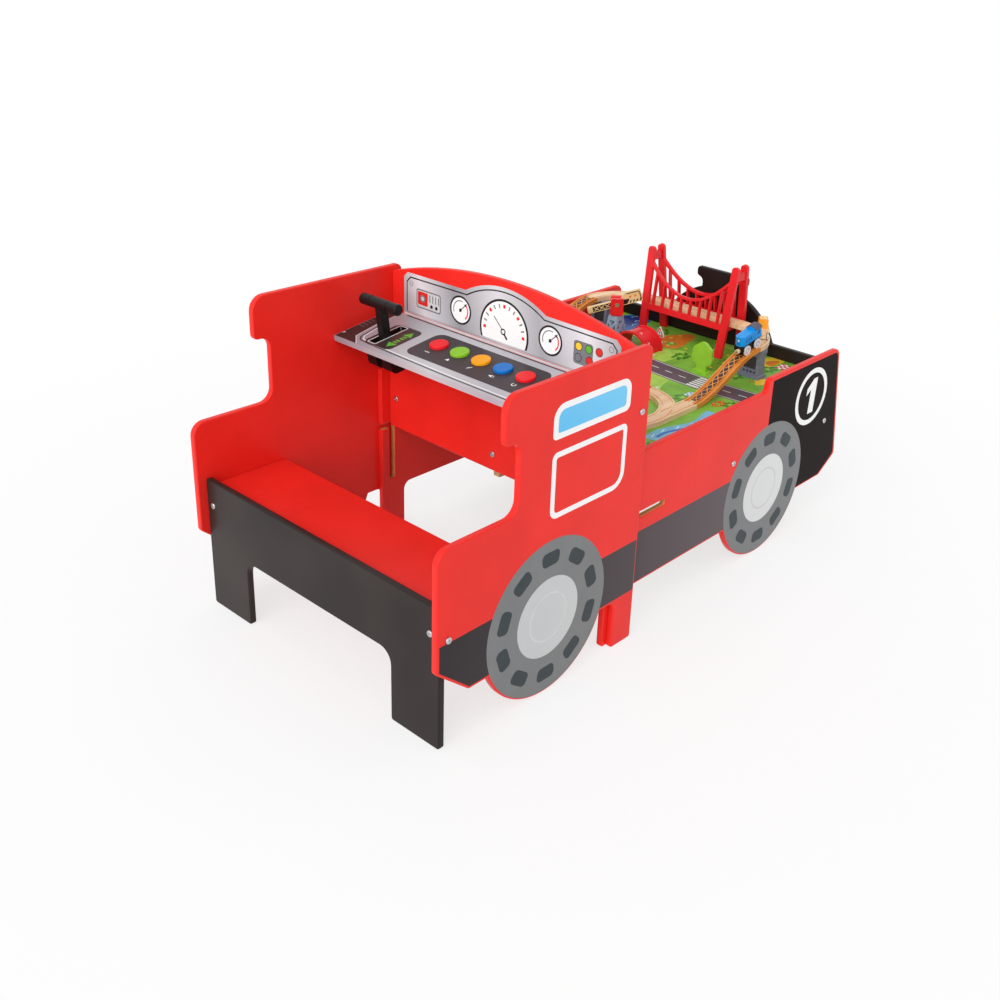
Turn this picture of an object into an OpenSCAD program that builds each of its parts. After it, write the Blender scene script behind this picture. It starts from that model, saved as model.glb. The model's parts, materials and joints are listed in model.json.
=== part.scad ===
/* [Main boards] */
// Length from the back of the cab to the tip of the nose
length_all = 1455; // [1425:1:1485]
// Width over the two cab sides
width_all = 750; // [740:1:770]
// Thickness of the painted boards
board_t = 15; // [14:0.5:16]
// Radius of the wheel discs, which also stand on the floor
wheel_r = 175; // [168:1:182]
// Radius of a bolt shank
bolt_r = 3; // [2.5:0.1:3.5]

/* [Cab] */
// Length of a cab side
cab_len = 575; // [568:1:582]
// Height of a cab side
cab_h = 676; // [668:1:690]
// Height of the armrest
arm_h = 434; // [415:1:450]
// Height of the lower edge of a cab side
skirt_z = 115; // [105:1:125]
// Width of the front leg of a cab side
cab_leg_w = 66; // [56:1:72]
// Distance of the cab wheel from the back
cab_wheel_x = 297; // [285:1:305]
// Distance of the roof's back edge from the back of the cab
eave_x = 160; // [145:1:175]
// Height of the roof's lower edge
eave_z = 580; // [570:1:590]
// Distance of the pillar's back edge from the back of the cab
pillar_x = 200; // [195:1:215]

/* [Seat] */
// Height of the seat
seat_h = 287; // [275:1:300]
// Depth of the seat board
seat_d = 191; // [180:1:205]
// Height of the rear leg panel
rear_h = 305; // [300:1:315]
// Distance of the rear leg panel from the back edge of the cab
rear_x = 20; // [15:1:25]
// Width of the arch between the rear legs
arch_w = 454; // [430:1:480]
// Height of the arch between the rear legs
arch_h = 155; // [140:1:170]

/* [Dash] */
// Height of the dash shelf
dash_h = 545; // [535:1:555]
// Thickness of the dash shelf
dash_t = 13; // [12:0.5:15]
// Distance of the dash shelf's front edge from the back of the cab
dash_x = 371; // [360:1:380]
// Slope of the dash shelf, up to the bulkhead
dash_tilt = 8; // [6:0.5:10]
// Distance of the bulkhead from the back of the cab
bulkhead_x = 544.5; // [540:0.5:550]
// Height of the bulkhead's crown
bulkhead_h = 721; // [712:1:730]
// Radius of the bulkhead's arched top
bulkhead_r = 1160; // [1100:5:1250]

/* [Lever] */
// Distance of the lever's pivot from the back of the cab
lever_x = 436; // [430:1:440]
// Distance of the lever's pivot from the inside of the cab side
lever_in = 99; // [92:1:104]
// Height of the grip's centre above the pivot
lever_reach = 133; // [125:1:138]
// Diameter of the grip
grip_d = 26; // [24:0.5:28]
// Length of the grip
grip_len = 120; // [112:1:128]
// Radius of the lever's pin
pin_r = 4; // [3.5:0.1:4.5]

/* [Buttons] */
// Radius of a button
button_r = 21.4; // [19:0.1:23]
// Height of a button above the dash shelf
button_h = 7; // [6:0.5:9]
// Distance between two buttons
button_pitch = 64.5; // [60:0.5:67]
// Distance that a button can be pressed
button_travel = 4; // [3:0.5:4.5]

/* [Table] */
// Height of a table side
side_h = 436; // [428:1:444]
// Height of a table side at the nose
nose_h = 467; // [460:1:476]
// Distance of the table's front wall from the back of the cab
wall_x = 520; // [516:1:524]
// Height of the play surface
tray_h = 396; // [390:1:402]
// Thickness of the tray board
tray_t = 9; // [8:0.5:12]
// Radius of the boiler front
boiler_r = 185; // [175:1:195]
// Height of the funnel's rim
funnel_h = 587; // [580:1:600]

/* [Track] */
// Width of a track
track_w = 40; // [38:0.5:42]
// Thickness of a track
track_t = 12; // [11:0.5:13]
// Width of a wheel groove
groove_w = 6; // [5.6:0.1:6.6]
// Depth of a wheel groove
groove_d = 3; // [2.5:0.1:3.5]
// Radius of the ground loop
loop_r = 182; // [176:1:188]
// Radius of the branch curve
branch_r = 120; // [114:1:126]
// Radius of the raised curves
high_r = 124; // [118:1:128]
// Length of a ramp
ramp_len = 256; // [246:1:266]
// Height that a ramp climbs
rise = 80; // [74:1:86]
// Distance of the near track's centre line from the table side
near_gap = 112; // [104:1:120]
// Distance of the far track's centre line from the table side
far_gap = 58; // [50:1:66]

/* [Bridge] */
// Height of the bridge towers above the play surface
tower_h = 238; // [228:1:248]
// Thickness of a bridge frame
frame_t = 10; // [8:0.5:11]
// Angle that a bridge frame leans inwards
frame_lean = 7.3; // [4:0.1:8]
// Height of the cable's lowest point above the deck
cable_low = 38; // [34:1:46]
// Number of hangers on a frame
hangers = 8; // [6:1:12]

/* [Train] */
// Radius of a locomotive wheel
loco_wheel_r = 12.8; // [12.5:0.1:14]
// Radius of a wagon wheel
wagon_wheel_r = 11; // [10:0.1:11.5]
// Distance between the locomotive's axles
loco_base = 41; // [38:1:44]
// Distance between the wagon's axles
wagon_base = 26; // [24:1:28]

/* [Scenery] */
// Height of the crane's tower
crane_h = 72; // [68:1:78]
// Length of the crane's boom
boom_len = 148; // [140:1:150]
// Height of the tree
tree_h = 80; // [74:1:86]
// Radius of the tunnel
tunnel_r = 55; // [50:1:60]

/* [Hidden] */
$fn = 64;
// Number of straight pieces in a rounded corner
corner_steps = 6;
// Number of straight pieces in a ramp or a cable
curve_steps = 18;
// Overrun of every cut past the face it opens
over = 1;

// Faces of the boards
cab_y = width_all / 2;
table_y = cab_y - board_t;
inner_y = table_y - board_t;

// Corners of the cab sides
skirt_cut_len = 82;
skirt_cut_h = 70;
skirt_r = 12;
foot_r = 6;
leg_top_r = 20;
cab_front_r = 16;
roof_r = 34;
eave_r = 12;
pillar_r = 22;
neck_r = 30;
arm_r = 30;

// Rear leg panel, seat and their battens
rear_corner_r = 6;
arch_r = 30;
seat_edge_r = 5;
seat_x = rear_x + board_t;
seat_batten_w = 46;
seat_batten_h = 48;
seat_batten_len = 165;
seat_batten_y = table_y - seat_batten_w / 2;
seat_batten_z = seat_h - board_t - seat_batten_h / 2;

// Bolts
bolt_head_r = 7;
bolt_head_h = 3.5;
bolt_edge_r = 2;
bolt_socket_r = 2.2;
bolt_socket_h = 2;
bolt_bite = 12;
bolt_clear = 0.1;

// Dash shelf and what hangs below it
dash_low = dash_h - dash_t;
dash_end = bulkhead_x + board_t;
bulkhead_bolt_x = bulkhead_x + board_t / 2;
bulkhead_bolt_z = 538.5;
bulkhead_below = 15;
bulkhead_low = bulkhead_bolt_z - bulkhead_below;
wall_over = 2 * dash_t;
slot_back = 38;
slot_front = 57;
slot_w = 21;
lever_y = table_y - lever_in;
lever_drop = 42;
lever_z = dash_low - lever_drop;
stem_w = 22;
stem_t = 17;
stem_gap = 1;
stem_sink = 8;
stem_fit = 0.2;
cheek_t = 30;
cheek_w = 50;
cheek_below = 22;
cheek_r = 18;
bracket_w = stem_t + 2 * stem_gap + 2 * cheek_t;
pin_fit = 0.05;
pin_head_r = 7;
pin_head_t = 2;
grip_ring_w = 1.6;
grip_ring_d = 0.8;
grip_ring_x = 28;
grip_edge_r = 3;

// Buttons
button_x = 474;
button_off = 136.3;
button_y = lever_y - button_off;
button_colours = ["red", "yellowgreen", "orange", "dodgerblue", "red"];
button_edge_r = 2.5;
button_clear = 0.3;
button_lip = 0.5;
button_stem_r = 8;
button_collar_r = 12;
button_collar_t = 3;
counterbore_d = button_travel + 2 * button_lip;
pocket_r = button_collar_r + button_lip;
pocket_d = button_travel + 2 * button_collar_t;
box_wall = 10;
box_floor = 8;

// Table sides
table_x = 495;
table_leg_w = 71;
table_leg_r = 8;
table_skirt_z = 116;
table_wheel_back = 353;
step_back = 391;
step_lean = 8;
step_low_r = 10;
step_high_r = 14;
nose_lean = 57;
nose_top_r = 22;
nose_tip_z = 158;
nose_tip_r = 12;
nose_cut = 71;
slot_end_x = 685;
side_slot_z = 278;
side_slot_h = 14;
side_slot_r = 4;
key_slot_x = 519.5;
key_slot_w = 15;
key_slot_z = 141;

// End panel
end_back = 75;
end_x = length_all - end_back;
end_low = 130;
end_shoulder = 430;
boiler_z = 359;
funnel_neck_w = 120;
funnel_rim_w = 158;
funnel_rim_h = 27;
funnel_neck_r = 14;
funnel_rim_r = 9;

// Frame below the tray
wall_z = 286;
tray_x = wall_x + board_t;
tray_low = tray_h - tray_t;
tray_batten_w = 48;
tray_batten_h = 50;
tray_batten_y = inner_y - tray_batten_w / 2;
tray_batten_z = tray_low - tray_batten_h / 2;
rail_t = 18;
rail_h = 120;
rail_z = tray_low - rail_h / 2;
beam_t = 25;
beam_h = 40;
mid_beam_x = 947;
mid_beam_gap = 26;
mid_beam_z = tray_low - tray_batten_h - mid_beam_gap - beam_h / 2;
nose_beam_x = end_x - beam_t / 2;
nose_beam_gap = 40;
nose_beam_z = tray_low - tray_batten_h - nose_beam_gap - beam_h / 2;

// Railway layout
bridge_gap = 63;
bridge_x = end_x - bridge_gap;
near_y = near_gap - inner_y;
far_y = inner_y - far_gap;
deck_y = near_y + high_r;
deck_end_y = far_y - high_r;
deck_len = deck_end_y - deck_y;
ramp_top_x = bridge_x - high_r;
ramp_x = ramp_top_x - ramp_len;
switch_len = 129;
loop_x = ramp_x - switch_len;
loop_y = near_y + loop_r;
loop_far_y = far_y - loop_r;
branch_y = near_y + branch_r;
branch_angle = 45;
deck_z = tray_h + track_t + rise;
deck_low = deck_z - track_t;
groove_off = 13;
ramp_line_share = 0.05;
neck_w = 7;
neck_len = 8;
peg_r = 5.5;
peg_clear = 0.4;
buffer_len = 70;
buffer_wall_t = 14;
buffer_wall_h = 30;
buffer_wall_r = 6;
buffer_gap = 4;
buffer_pad_r = 6;
buffer_pad_t = 3;

// Bridge
foot_gap = 90;
near_tower_in = 23;
far_tower_in = 0;
tower_foot_w = 22;
tower_top_w = 20;
tower_top_r = 9;
tower_splay = 9;
girder_h = 16;
girder_drop = 5;
cable_drop = 26;
cable_t = 7;
hanger_w = 5;
bay_steps = 3;
cable_flare_share = 0.7;
tie_t = 12;
tie_h = 22;
tie_drop = 37;
bearer_w = 16;
bearer_h = 10;
near_tower_y = deck_y + near_tower_in;
far_tower_y = deck_end_y - far_tower_in;
cable_y = near_tower_y - tower_splay;
cable_span = far_tower_y + tower_splay - cable_y;
tower_top = tray_h + tower_h;
girder_z = deck_z - girder_drop;
cable_end_z = tower_top - cable_drop;
cable_low_z = deck_z + cable_low;
pier_off = 29;
pier_in = 12;
pier_t = 26;
pier_w = 62;
pier_body_w = 54;
pier_base_t = 35;
pier_base_h = 9;
pier_cap_h = 12;
pier_panel_w = 36;
pier_panel_z = 23;
pier_panel_h = 34;
pier_panel_d = 4;
pier_vents = 4;
pier_vent_w = 6;
pier_vent_h = 7;
pier_vent_z = 12;
pier_vent_pitch = 10;
pier_r = 2;

// Train
axle_r = 1.6;
axle_fit = 0.05;
tread_t = 4;
wagon_tread_t = 3;
wheel_clear = 0.35;
hub_r_share = 0.62;
hub_dish = 0.8;
loco_from_top = 27;
loco_x = ramp_top_x - loco_from_top;
chassis_w = 17;
chassis_low = 6;
chassis_plate_t = 1.5;
chassis_rear = 17;
bumper_t = 4;
bumper_low = 2;
plate_w = 27;
plate_gap = 0.8;
plate_z = loco_wheel_r + plate_gap;
plate_top = plate_z + chassis_plate_t;
bed_z = wagon_wheel_r + plate_gap;
hood_h = 24;
hood_w = 25;
hood_r = 2;
hood_chamfer = 6.5;
hood_front = 17.5;
cab_back = 11;
loco_cab_len = 25;
loco_cab_w = 27;
loco_cab_h = 24.5;
loco_window_w = 10;
loco_window_h = 11;
loco_window_d = 1.2;
loco_window_drop = 4;
roof_t = 2;
roof_over = 1;
roof_arch_r = 18;
coupler_r = 5.5;
coupler_len = 9;
coupler_z = 3;
wagon_turn = 36;
wagon_over = 14;
wagon_w = 32;
wagon_bed_t = 5;
load_len = 29;
load_w = 23;
load_h = 24;
load_r = 3;
load_groove_w = 2;
load_groove_d = 1;

// Tree, tunnel and road sign
tree_back = 46;
tree_in = 115;
tree_x = ramp_top_x - tree_back;
tree_y = near_y + tree_in;
tree_t = 9;
tree_w = 62;
tree_base_t = 5;
tree_base_len = 26;
tree_base_w = 46;
tree_base_r = 10;
trunk_top_w_share = 0.22;
trunk_foot_w_share = 0.42;
trunk_h_share = 0.45;
crown_r_share = 0.29;
crown_r = crown_r_share * tree_w;
crown_places_shares = [[-0.21, 0.62], [0.21, 0.62], [-0.18, 0.86], [0.18, 0.86], [0, 1], [0, 0.7]];
tunnel_back = 63;
tunnel_x = ramp_top_x - tunnel_back;
tunnel_gap = 4;
tunnel_len = 70;
tunnel_t = 6;
tunnel_rim_t = 3;
tunnel_rim_len = 8;
sign_ahead = 47;
sign_in = 78;
sign_x = ramp_top_x + sign_ahead;
sign_y = deck_end_y - sign_in;
sign_post_r = 2.2;
sign_post_h = 24;
sign_base_r = 10;
sign_base_t = 4;
sign_size = 34;
sign_t = 4;
sign_r = 3;

// Crane
crane_back = 25;
crane_in = 107;
crane_x = ramp_top_x - crane_back;
crane_y = far_y - crane_in;
crane_turn = -50;
crane_foot_w = 46;
crane_top_w = 28;
crane_foot_t = 6;
crane_cap_t = 13;
crane_post_share = 0.16;
crane_brace_w = 4;
crane_top = tray_h + crane_h;
tunnel_y = crane_y - crane_foot_w / 2 - tunnel_gap - tunnel_r;
spigot_r = 5;
spigot_len = 10;
spigot_gap = 1;
turntable_r = 15;
turntable_t = 4;
turntable_gap = 0.3;
crane_cab_len = 34;
crane_cab_w = 36;
crane_cab_h = 44;
crane_cab_r = 5;
boom_t = 12;
boom_gap = 0.6;
boom_floor = 23;
boom_pivot_h = 28;
turntable_z = crane_top + turntable_gap;
boom_pivot_z = turntable_z + turntable_t + boom_pivot_h;
boom_lift = 18;
boom_low_share = 0.54;
boom_low_w = 17;
boom_high_w = 31;
boom_step_share = 0.62;
boom_step_end_share = 0.72;
boom_r = 3;
boom_pin_r = 3;
boom_pin_head_r = 5.5;
boom_pin_head_t = 2;
pulley_r = 6;
pulley_t = 2;

function unit(v) = v / norm(v);
function corner(a, b, c, r) = r <= 0 ? [b] :
  let(u = unit(a - b), v = unit(c - b), half = acos(u * v) / 2, d = r / tan(half),
    m = b + unit(u + v) * r / sin(half), s = b + u * d - m, e = b + v * d - m,
    from = atan2(s[1], s[0]), turn = atan2(e[1], e[0]) - from,
    sweep = turn > 180 ? turn - 360 : turn < -180 ? turn + 360 : turn)
  [for (i = [0 : corner_steps]) let(t = from + sweep * i / corner_steps) m + r * [cos(t), sin(t)]];
// Outline through [x, y, corner radius] points
function rounded(pts) = let(n = len(pts), p = [for (q = pts) [q[0], q[1]]])
  [for (i = [0 : n - 1]) each corner(p[(i + n - 1) % n], p[i], p[(i + 1) % n], pts[i][2])];
function mirrored(pts) = concat(pts, [for (i = [len(pts) - 1 : -1 : 0]) [-pts[i][0], pts[i][1], pts[i][2]]]);
function climb(s) = rise * (ramp_line_share * s + (1 - ramp_line_share) * (3 * s * s - 2 * s * s * s));
function slope(s) = rise / ramp_len * (ramp_line_share + (1 - ramp_line_share) * 6 * s * (1 - s));
function ramp_z(x) = tray_h + track_t + climb((x - ramp_x) / ramp_len);
function axle_at(x) = let(t = atan(slope((x - ramp_x) / ramp_len)), h = loco_wheel_r + wheel_clear)
  [x - h * sin(t), ramp_z(x) - groove_d + h * cos(t)];
function cable_z(s) = cable_low_z + (cable_end_z - cable_low_z) * pow(2 * s - 1, 2);
// Height along a leaning frame, from the play surface
function along_frame(z) = (z - tray_h) / cos(frame_lean);
// Half of the room between the leaning frames
function half_gap(z) = foot_gap / 2 - (z - tray_h) * tan(frame_lean);
function cable_under(s) = cable_z(s) - cable_t * (1 + cable_flare_share * pow(2 * s - 1, 2));

table_wheel_x = length_all - table_wheel_back;
step_x = length_all - step_back;
table_edge = rounded([
  [table_x, 0, table_leg_r], [table_x + table_leg_w, 0, table_leg_r],
  [table_x + table_leg_w, table_skirt_z, leg_top_r], [length_all - nose_cut, table_skirt_z, nose_tip_r],
  [length_all, nose_tip_z, nose_tip_r], [length_all - nose_lean, nose_h, nose_top_r],
  [step_x + step_lean, nose_h, step_high_r], [step_x, side_h, step_low_r], [table_x, side_h, 0]]);
// Foremost point of the rounded nose
nose_x = max([for (p = table_edge) p[0]]);
loco_front = axle_at(loco_x - loco_base / 2);
loco_rear = axle_at(loco_x + loco_base / 2);
loco_mid = (loco_front + loco_rear) / 2;
loco_span = norm(loco_rear - loco_front);
loco_tilt = atan2(loco_rear[1] - loco_front[1], loco_rear[0] - loco_front[0]);
wagon_z = deck_z - groove_d + wagon_wheel_r + wheel_clear;
// Half of the length of a wagon wheel that lies below the top of the track
wheel_chord = sqrt(pow(wagon_wheel_r, 2) - pow(wagon_wheel_r + wheel_clear - groove_d, 2));
// The wagon's straight wheels sit a little inside the curved grooves
wagon_in = (pow(wagon_base / 2, 2) + pow(wheel_chord, 2)) / 2 / high_r;

// Moves the middle of the length to zero from the back of the cab
module place() translate([-nose_x / 2, 0, 0]) children();
// A board in the X-Z plane with its outer face at y
module side_board(y, t = board_t) translate([0, y, 0]) rotate([90, 0, 0]) linear_extrude(t) children();
// A board in the Y-Z plane with its back face at x
module cross_board(x, t = board_t) translate([x, 0, 0]) rotate([90, 0, 90]) linear_extrude(t) children();
// A box from one corner to the other
module span(a, b) translate(a) cube(b - a);
module drill(r, h) cylinder(r = r, h = h + over);

module bolt() {
  rotate_extrude() difference() {
    union() {
      translate([0, -board_t - bolt_bite]) square([bolt_r, board_t + bolt_bite]);
      square([bolt_head_r - bolt_edge_r, bolt_head_h]);
      square([bolt_head_r, bolt_head_h - bolt_edge_r]);
      translate([bolt_head_r - bolt_edge_r, bolt_head_h - bolt_edge_r]) intersection() {
        circle(bolt_edge_r);
        square(bolt_edge_r);
      }
    }
    translate([0, bolt_head_h - bolt_socket_h]) square([bolt_socket_r, bolt_socket_h + over]);
  }
}
module bolt_hole() translate([0, 0, -board_t - bolt_bite - over]) cylinder(r = bolt_r + bolt_clear,
  h = board_t + bolt_bite + 2 * over);
// Places of the bolts through the sides, pointing out of them
module at_side_bolts() for (s = [-1, 1]) {
  for (p = [[seat_x - board_t / 2, seat_batten_z], [bulkhead_bolt_x, bulkhead_bolt_z]])
    translate([p[0], s * cab_y, p[1]]) rotate([-s * 90, 0, 0]) children();
  for (p = [[mid_beam_x, mid_beam_z], [nose_beam_x, nose_beam_z]])
    translate([p[0], s * table_y, p[1]]) rotate([-s * 90, 0, 0]) children();
}
// Places of the bolts through the rear panel and the front wall, pointing to the back
module at_cross_bolts() {
  for (s = [-1, 1]) {
    translate([rear_x, s * seat_batten_y, seat_batten_z]) rotate([0, -90, 0]) children();
    translate([wall_x, s * tray_batten_y, tray_batten_z]) rotate([0, -90, 0]) children();
  }
  translate([wall_x, 0, rail_z]) rotate([0, -90, 0]) children();
}
module bolted() difference() {
  children();
  at_side_bolts() bolt_hole();
  at_cross_bolts() bolt_hole();
}

module cab_outline() {
  polygon(rounded([
    [0, skirt_z + skirt_cut_h, skirt_r], [skirt_cut_len, skirt_z, skirt_r],
    [cab_len - cab_leg_w, skirt_z, leg_top_r], [cab_len - cab_leg_w, 0, foot_r],
    [cab_len, 0, foot_r], [cab_len, cab_h, cab_front_r], [eave_x, cab_h, roof_r],
    [eave_x, eave_z, eave_r], [pillar_x, eave_z, pillar_r], [pillar_x, arm_h, neck_r],
    [0, arm_h, arm_r]]));
  translate([cab_wheel_x, wheel_r]) circle(wheel_r, $fn = 128);
}
module cab_side_right() color("red") place() bolted() side_board(-table_y) cab_outline();
module cab_side_left() color("red") place() bolted() side_board(cab_y) cab_outline();

module rear_leg_panel() color([0.13, 0.1, 0.1]) place() bolted() cross_board(rear_x) polygon(rounded(mirrored([
  [arch_w / 2, arch_h, arch_r], [arch_w / 2, 0, foot_r], [table_y, 0, foot_r],
  [table_y, rear_h, rear_corner_r]])));
module seat_board() color("red") place() side_board(table_y, 2 * table_y) polygon(rounded([
  [seat_x, seat_h - board_t, 0], [seat_x + seat_d, seat_h - board_t, seat_edge_r],
  [seat_x + seat_d, seat_h, seat_edge_r], [seat_x, seat_h, 0]]));
module seat_battens() color("burlywood") place() bolted() for (s = [-1, 1])
  translate([seat_x, s * seat_batten_y - seat_batten_w / 2, seat_h - board_t - seat_batten_h])
    cube([seat_batten_len, seat_batten_w, seat_batten_h]);

// Turns what is drawn level about the shelf's front edge, up to the bulkhead
module on_dash() translate([dash_x, 0, dash_h]) rotate([0, -dash_tilt, 0]) translate([-dash_x, 0, -dash_h]) children();
// Lever's own frame: X runs along its slot and Y along its pin
module at_lever() on_dash() translate([lever_x, lever_y, lever_z]) children();
module at_button(i) on_dash() translate([button_x, button_y - i * button_pitch, dash_h]) children();
module dash_shelf() color("silver") place() difference() {
  on_dash() span([dash_x, -table_y, dash_low], [dash_end, table_y, dash_h]);
  span([bulkhead_x, -cab_y, dash_low], [dash_end, cab_y, bulkhead_h]);
  at_lever() translate([0, 0, lever_drop - over]) linear_extrude(dash_t + 2 * over)
    polygon(rounded([[-slot_back, -slot_w / 2, side_slot_r], [slot_front, -slot_w / 2, side_slot_r],
      [slot_front, slot_w / 2, side_slot_r], [-slot_back, slot_w / 2, side_slot_r]]));
  for (i = [0 : 4]) at_button(i) {
    translate([0, 0, -counterbore_d]) drill(button_r + button_clear, counterbore_d);
    translate([0, 0, -dash_t - over]) drill(button_stem_r + button_clear, dash_t);
  }
}
module bulkhead() color("red") place() bolted() cross_board(bulkhead_x) intersection() {
  translate([-table_y, bulkhead_low]) square([2 * table_y, bulkhead_h]);
  translate([0, bulkhead_h - bulkhead_r]) circle(bulkhead_r, $fn = 360);
}
module front_wall() color("red") place() bolted() difference() {
  span([wall_x, -inner_y, wall_z], [wall_x + board_t, inner_y, dash_h + wall_over]);
  on_dash() span([dash_x, -table_y, dash_low], [dash_end, table_y, bulkhead_h]);
}

module button(i) color(button_colours[i]) place() at_button(i) rotate_extrude() {
  translate([0, -button_lip]) square([button_r - button_edge_r, button_h + button_lip]);
  translate([0, -button_lip]) square([button_r, button_h + button_lip - button_edge_r]);
  translate([button_r - button_edge_r, button_h - button_edge_r]) circle(button_edge_r);
  translate([0, -dash_t - button_collar_t]) square([button_stem_r, dash_t + button_collar_t]);
  translate([0, -dash_t - button_collar_t]) square([button_collar_r, button_collar_t]);
}
module button_one() button(0);
module button_two() button(1);
module button_three() button(2);
module button_four() button(3);
module button_five() button(4);
module button_box() color([0.15, 0.15, 0.16]) place() difference() {
  on_dash() span([button_x - pocket_r - box_wall, button_y - 4 * button_pitch - pocket_r - box_wall,
    dash_low - pocket_d - box_floor], [wall_x, button_y + pocket_r + box_wall, dash_low]);
  span([wall_x, -inner_y, wall_z], [bulkhead_x, inner_y, bulkhead_h]);
  for (i = [0 : 4]) at_button(i) translate([0, 0, -dash_t - pocket_d]) drill(pocket_r, pocket_d);
}

module lever_bracket() color([0.1, 0.1, 0.1]) place() at_lever() difference() {
  for (s = [-1, 1]) translate([0, s * (bracket_w - cheek_t) / 2 + cheek_t / 2, 0]) rotate([90, 0, 0])
    linear_extrude(cheek_t) polygon(rounded([[-cheek_w / 2, -cheek_below, cheek_r],
      [cheek_w / 2, -cheek_below, cheek_r], [cheek_w / 2, lever_drop, 0], [-cheek_w / 2, lever_drop, 0]]));
  translate([0, -bracket_w / 2 - over, 0]) rotate([-90, 0, 0]) cylinder(r = pin_r + pin_fit,
    h = bracket_w + 2 * over);
}
module lever_pin() color("silver") place() at_lever() translate([0, -bracket_w / 2, 0]) rotate([-90, 0, 0]) {
  cylinder(r = pin_r, h = bracket_w);
  translate([0, 0, -pin_head_t]) cylinder(r = pin_head_r, h = pin_head_t);
  translate([0, 0, bracket_w]) cylinder(r = pin_head_r, h = pin_head_t);
}
stem_top = lever_reach - grip_d / 2 + stem_sink;
module lever_stem() color([0.1, 0.1, 0.1]) place() at_lever() difference() {
  translate([0, stem_t / 2, 0]) rotate([90, 0, 0]) linear_extrude(stem_t) {
    translate([-stem_w / 2, 0]) square([stem_w, stem_top]);
    circle(stem_w / 2);
  }
  translate([0, -stem_t / 2 - over, 0]) rotate([-90, 0, 0]) cylinder(r = pin_r + pin_fit, h = stem_t + 2 * over);
}
module lever_grip() color([0.1, 0.1, 0.1]) place() at_lever() difference() {
  translate([0, -grip_len / 2, lever_reach]) rotate([-90, 0, 0]) rotate_extrude() difference() {
    polygon(rounded([[0, 0, 0], [grip_d / 2, 0, grip_edge_r], [grip_d / 2, grip_len, grip_edge_r],
      [0, grip_len, 0]]));
    for (s = [-1, 1]) translate([grip_d / 2 - grip_ring_d, grip_len / 2 + s * grip_ring_x - grip_ring_w / 2])
      square([grip_ring_d + over, grip_ring_w]);
  }
  translate([-stem_w / 2 - stem_fit, -stem_t / 2 - stem_fit, 0])
    cube([stem_w + 2 * stem_fit, stem_t + 2 * stem_fit, stem_top]);
}

module table_outline() difference() {
  union() {
    polygon(table_edge);
    translate([table_wheel_x, wheel_r]) circle(wheel_r, $fn = 128);
  }
  polygon(rounded([[table_x - over, side_slot_z, 0], [slot_end_x, side_slot_z, side_slot_r],
    [slot_end_x, side_slot_z + side_slot_h, side_slot_r], [table_x - over, side_slot_z + side_slot_h, 0]]));
  translate([key_slot_x, key_slot_z]) square([key_slot_w, side_slot_z + over - key_slot_z]);
}
module table_side_right() color("red") place() bolted() side_board(-inner_y) table_outline();
module table_side_left() color("red") place() bolted() side_board(table_y) table_outline();

module end_panel() color([0.13, 0.1, 0.1]) place() cross_board(end_x) {
  translate([-inner_y, end_low]) square([2 * inner_y, end_shoulder - end_low]);
  translate([0, boiler_z]) circle(boiler_r, $fn = 128);
  polygon(rounded(mirrored([
    [funnel_neck_w / 2, boiler_z, 0], [funnel_neck_w / 2, funnel_h - funnel_rim_h, funnel_neck_r],
    [funnel_rim_w / 2, funnel_h - funnel_rim_h, funnel_rim_r], [funnel_rim_w / 2, funnel_h, funnel_rim_r]])));
}
module tray_board() color("olivedrab") place() span([tray_x, -inner_y, tray_low], [end_x, inner_y, tray_h]);
module tray_battens() color("burlywood") place() bolted() for (s = [-1, 1])
  translate([tray_x, s * tray_batten_y - tray_batten_w / 2, tray_low - tray_batten_h])
    cube([end_x - tray_x, tray_batten_w, tray_batten_h]);
module beam(x, z, grow = 0) span([x - beam_t / 2, -inner_y, z - beam_h / 2 - grow],
  [x + beam_t / 2, inner_y, z + beam_h / 2]);
module centre_rail() color("burlywood") place() bolted() difference() {
  span([tray_x, -rail_t / 2, tray_low - rail_h], [end_x, rail_t / 2, tray_low]);
  beam(mid_beam_x, mid_beam_z, rail_h);
  beam(nose_beam_x, nose_beam_z, rail_h);
}
module mid_beam() color("burlywood") place() bolted() beam(mid_beam_x, mid_beam_z);
module nose_beam() color("burlywood") place() bolted() beam(nose_beam_x, nose_beam_z);
module bolts() color("silver") place() {
  at_side_bolts() bolt();
  at_cross_bolts() bolt();
}

module track_section() translate([-track_w / 2, 0]) square([track_w, track_t]);
module groove_section() for (s = [-1, 1]) translate([s * groove_off - groove_w / 2, track_t - groove_d])
  square([groove_w, groove_d + over]);
// A joint shape that points along +X: a neck with a round head
module joint_shape(grow) {
  translate([-over, -neck_w / 2 - grow]) square([neck_len + over, neck_w + 2 * grow]);
  translate([neck_len, 0]) circle(peg_r + grow);
}
module peg() linear_extrude(track_t) intersection() {
  joint_shape(0);
  translate([0, -track_w / 2]) square([track_w, track_w]);
}
module socket() translate([0, 0, -track_t]) linear_extrude(3 * track_t) joint_shape(peg_clear);
module along(len) rotate([90, 0, 90]) linear_extrude(len) children();
module around(r, angle) rotate_extrude(angle = angle, $fn = 128) translate([r, 0]) children();
// A straight along +X with a socket at its start and a peg at its end
module straight_track(len) {
  difference() {
    along(len) difference() {
      track_section();
      groove_section();
    }
    socket();
  }
  translate([len, 0, 0]) peg();
}
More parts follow.
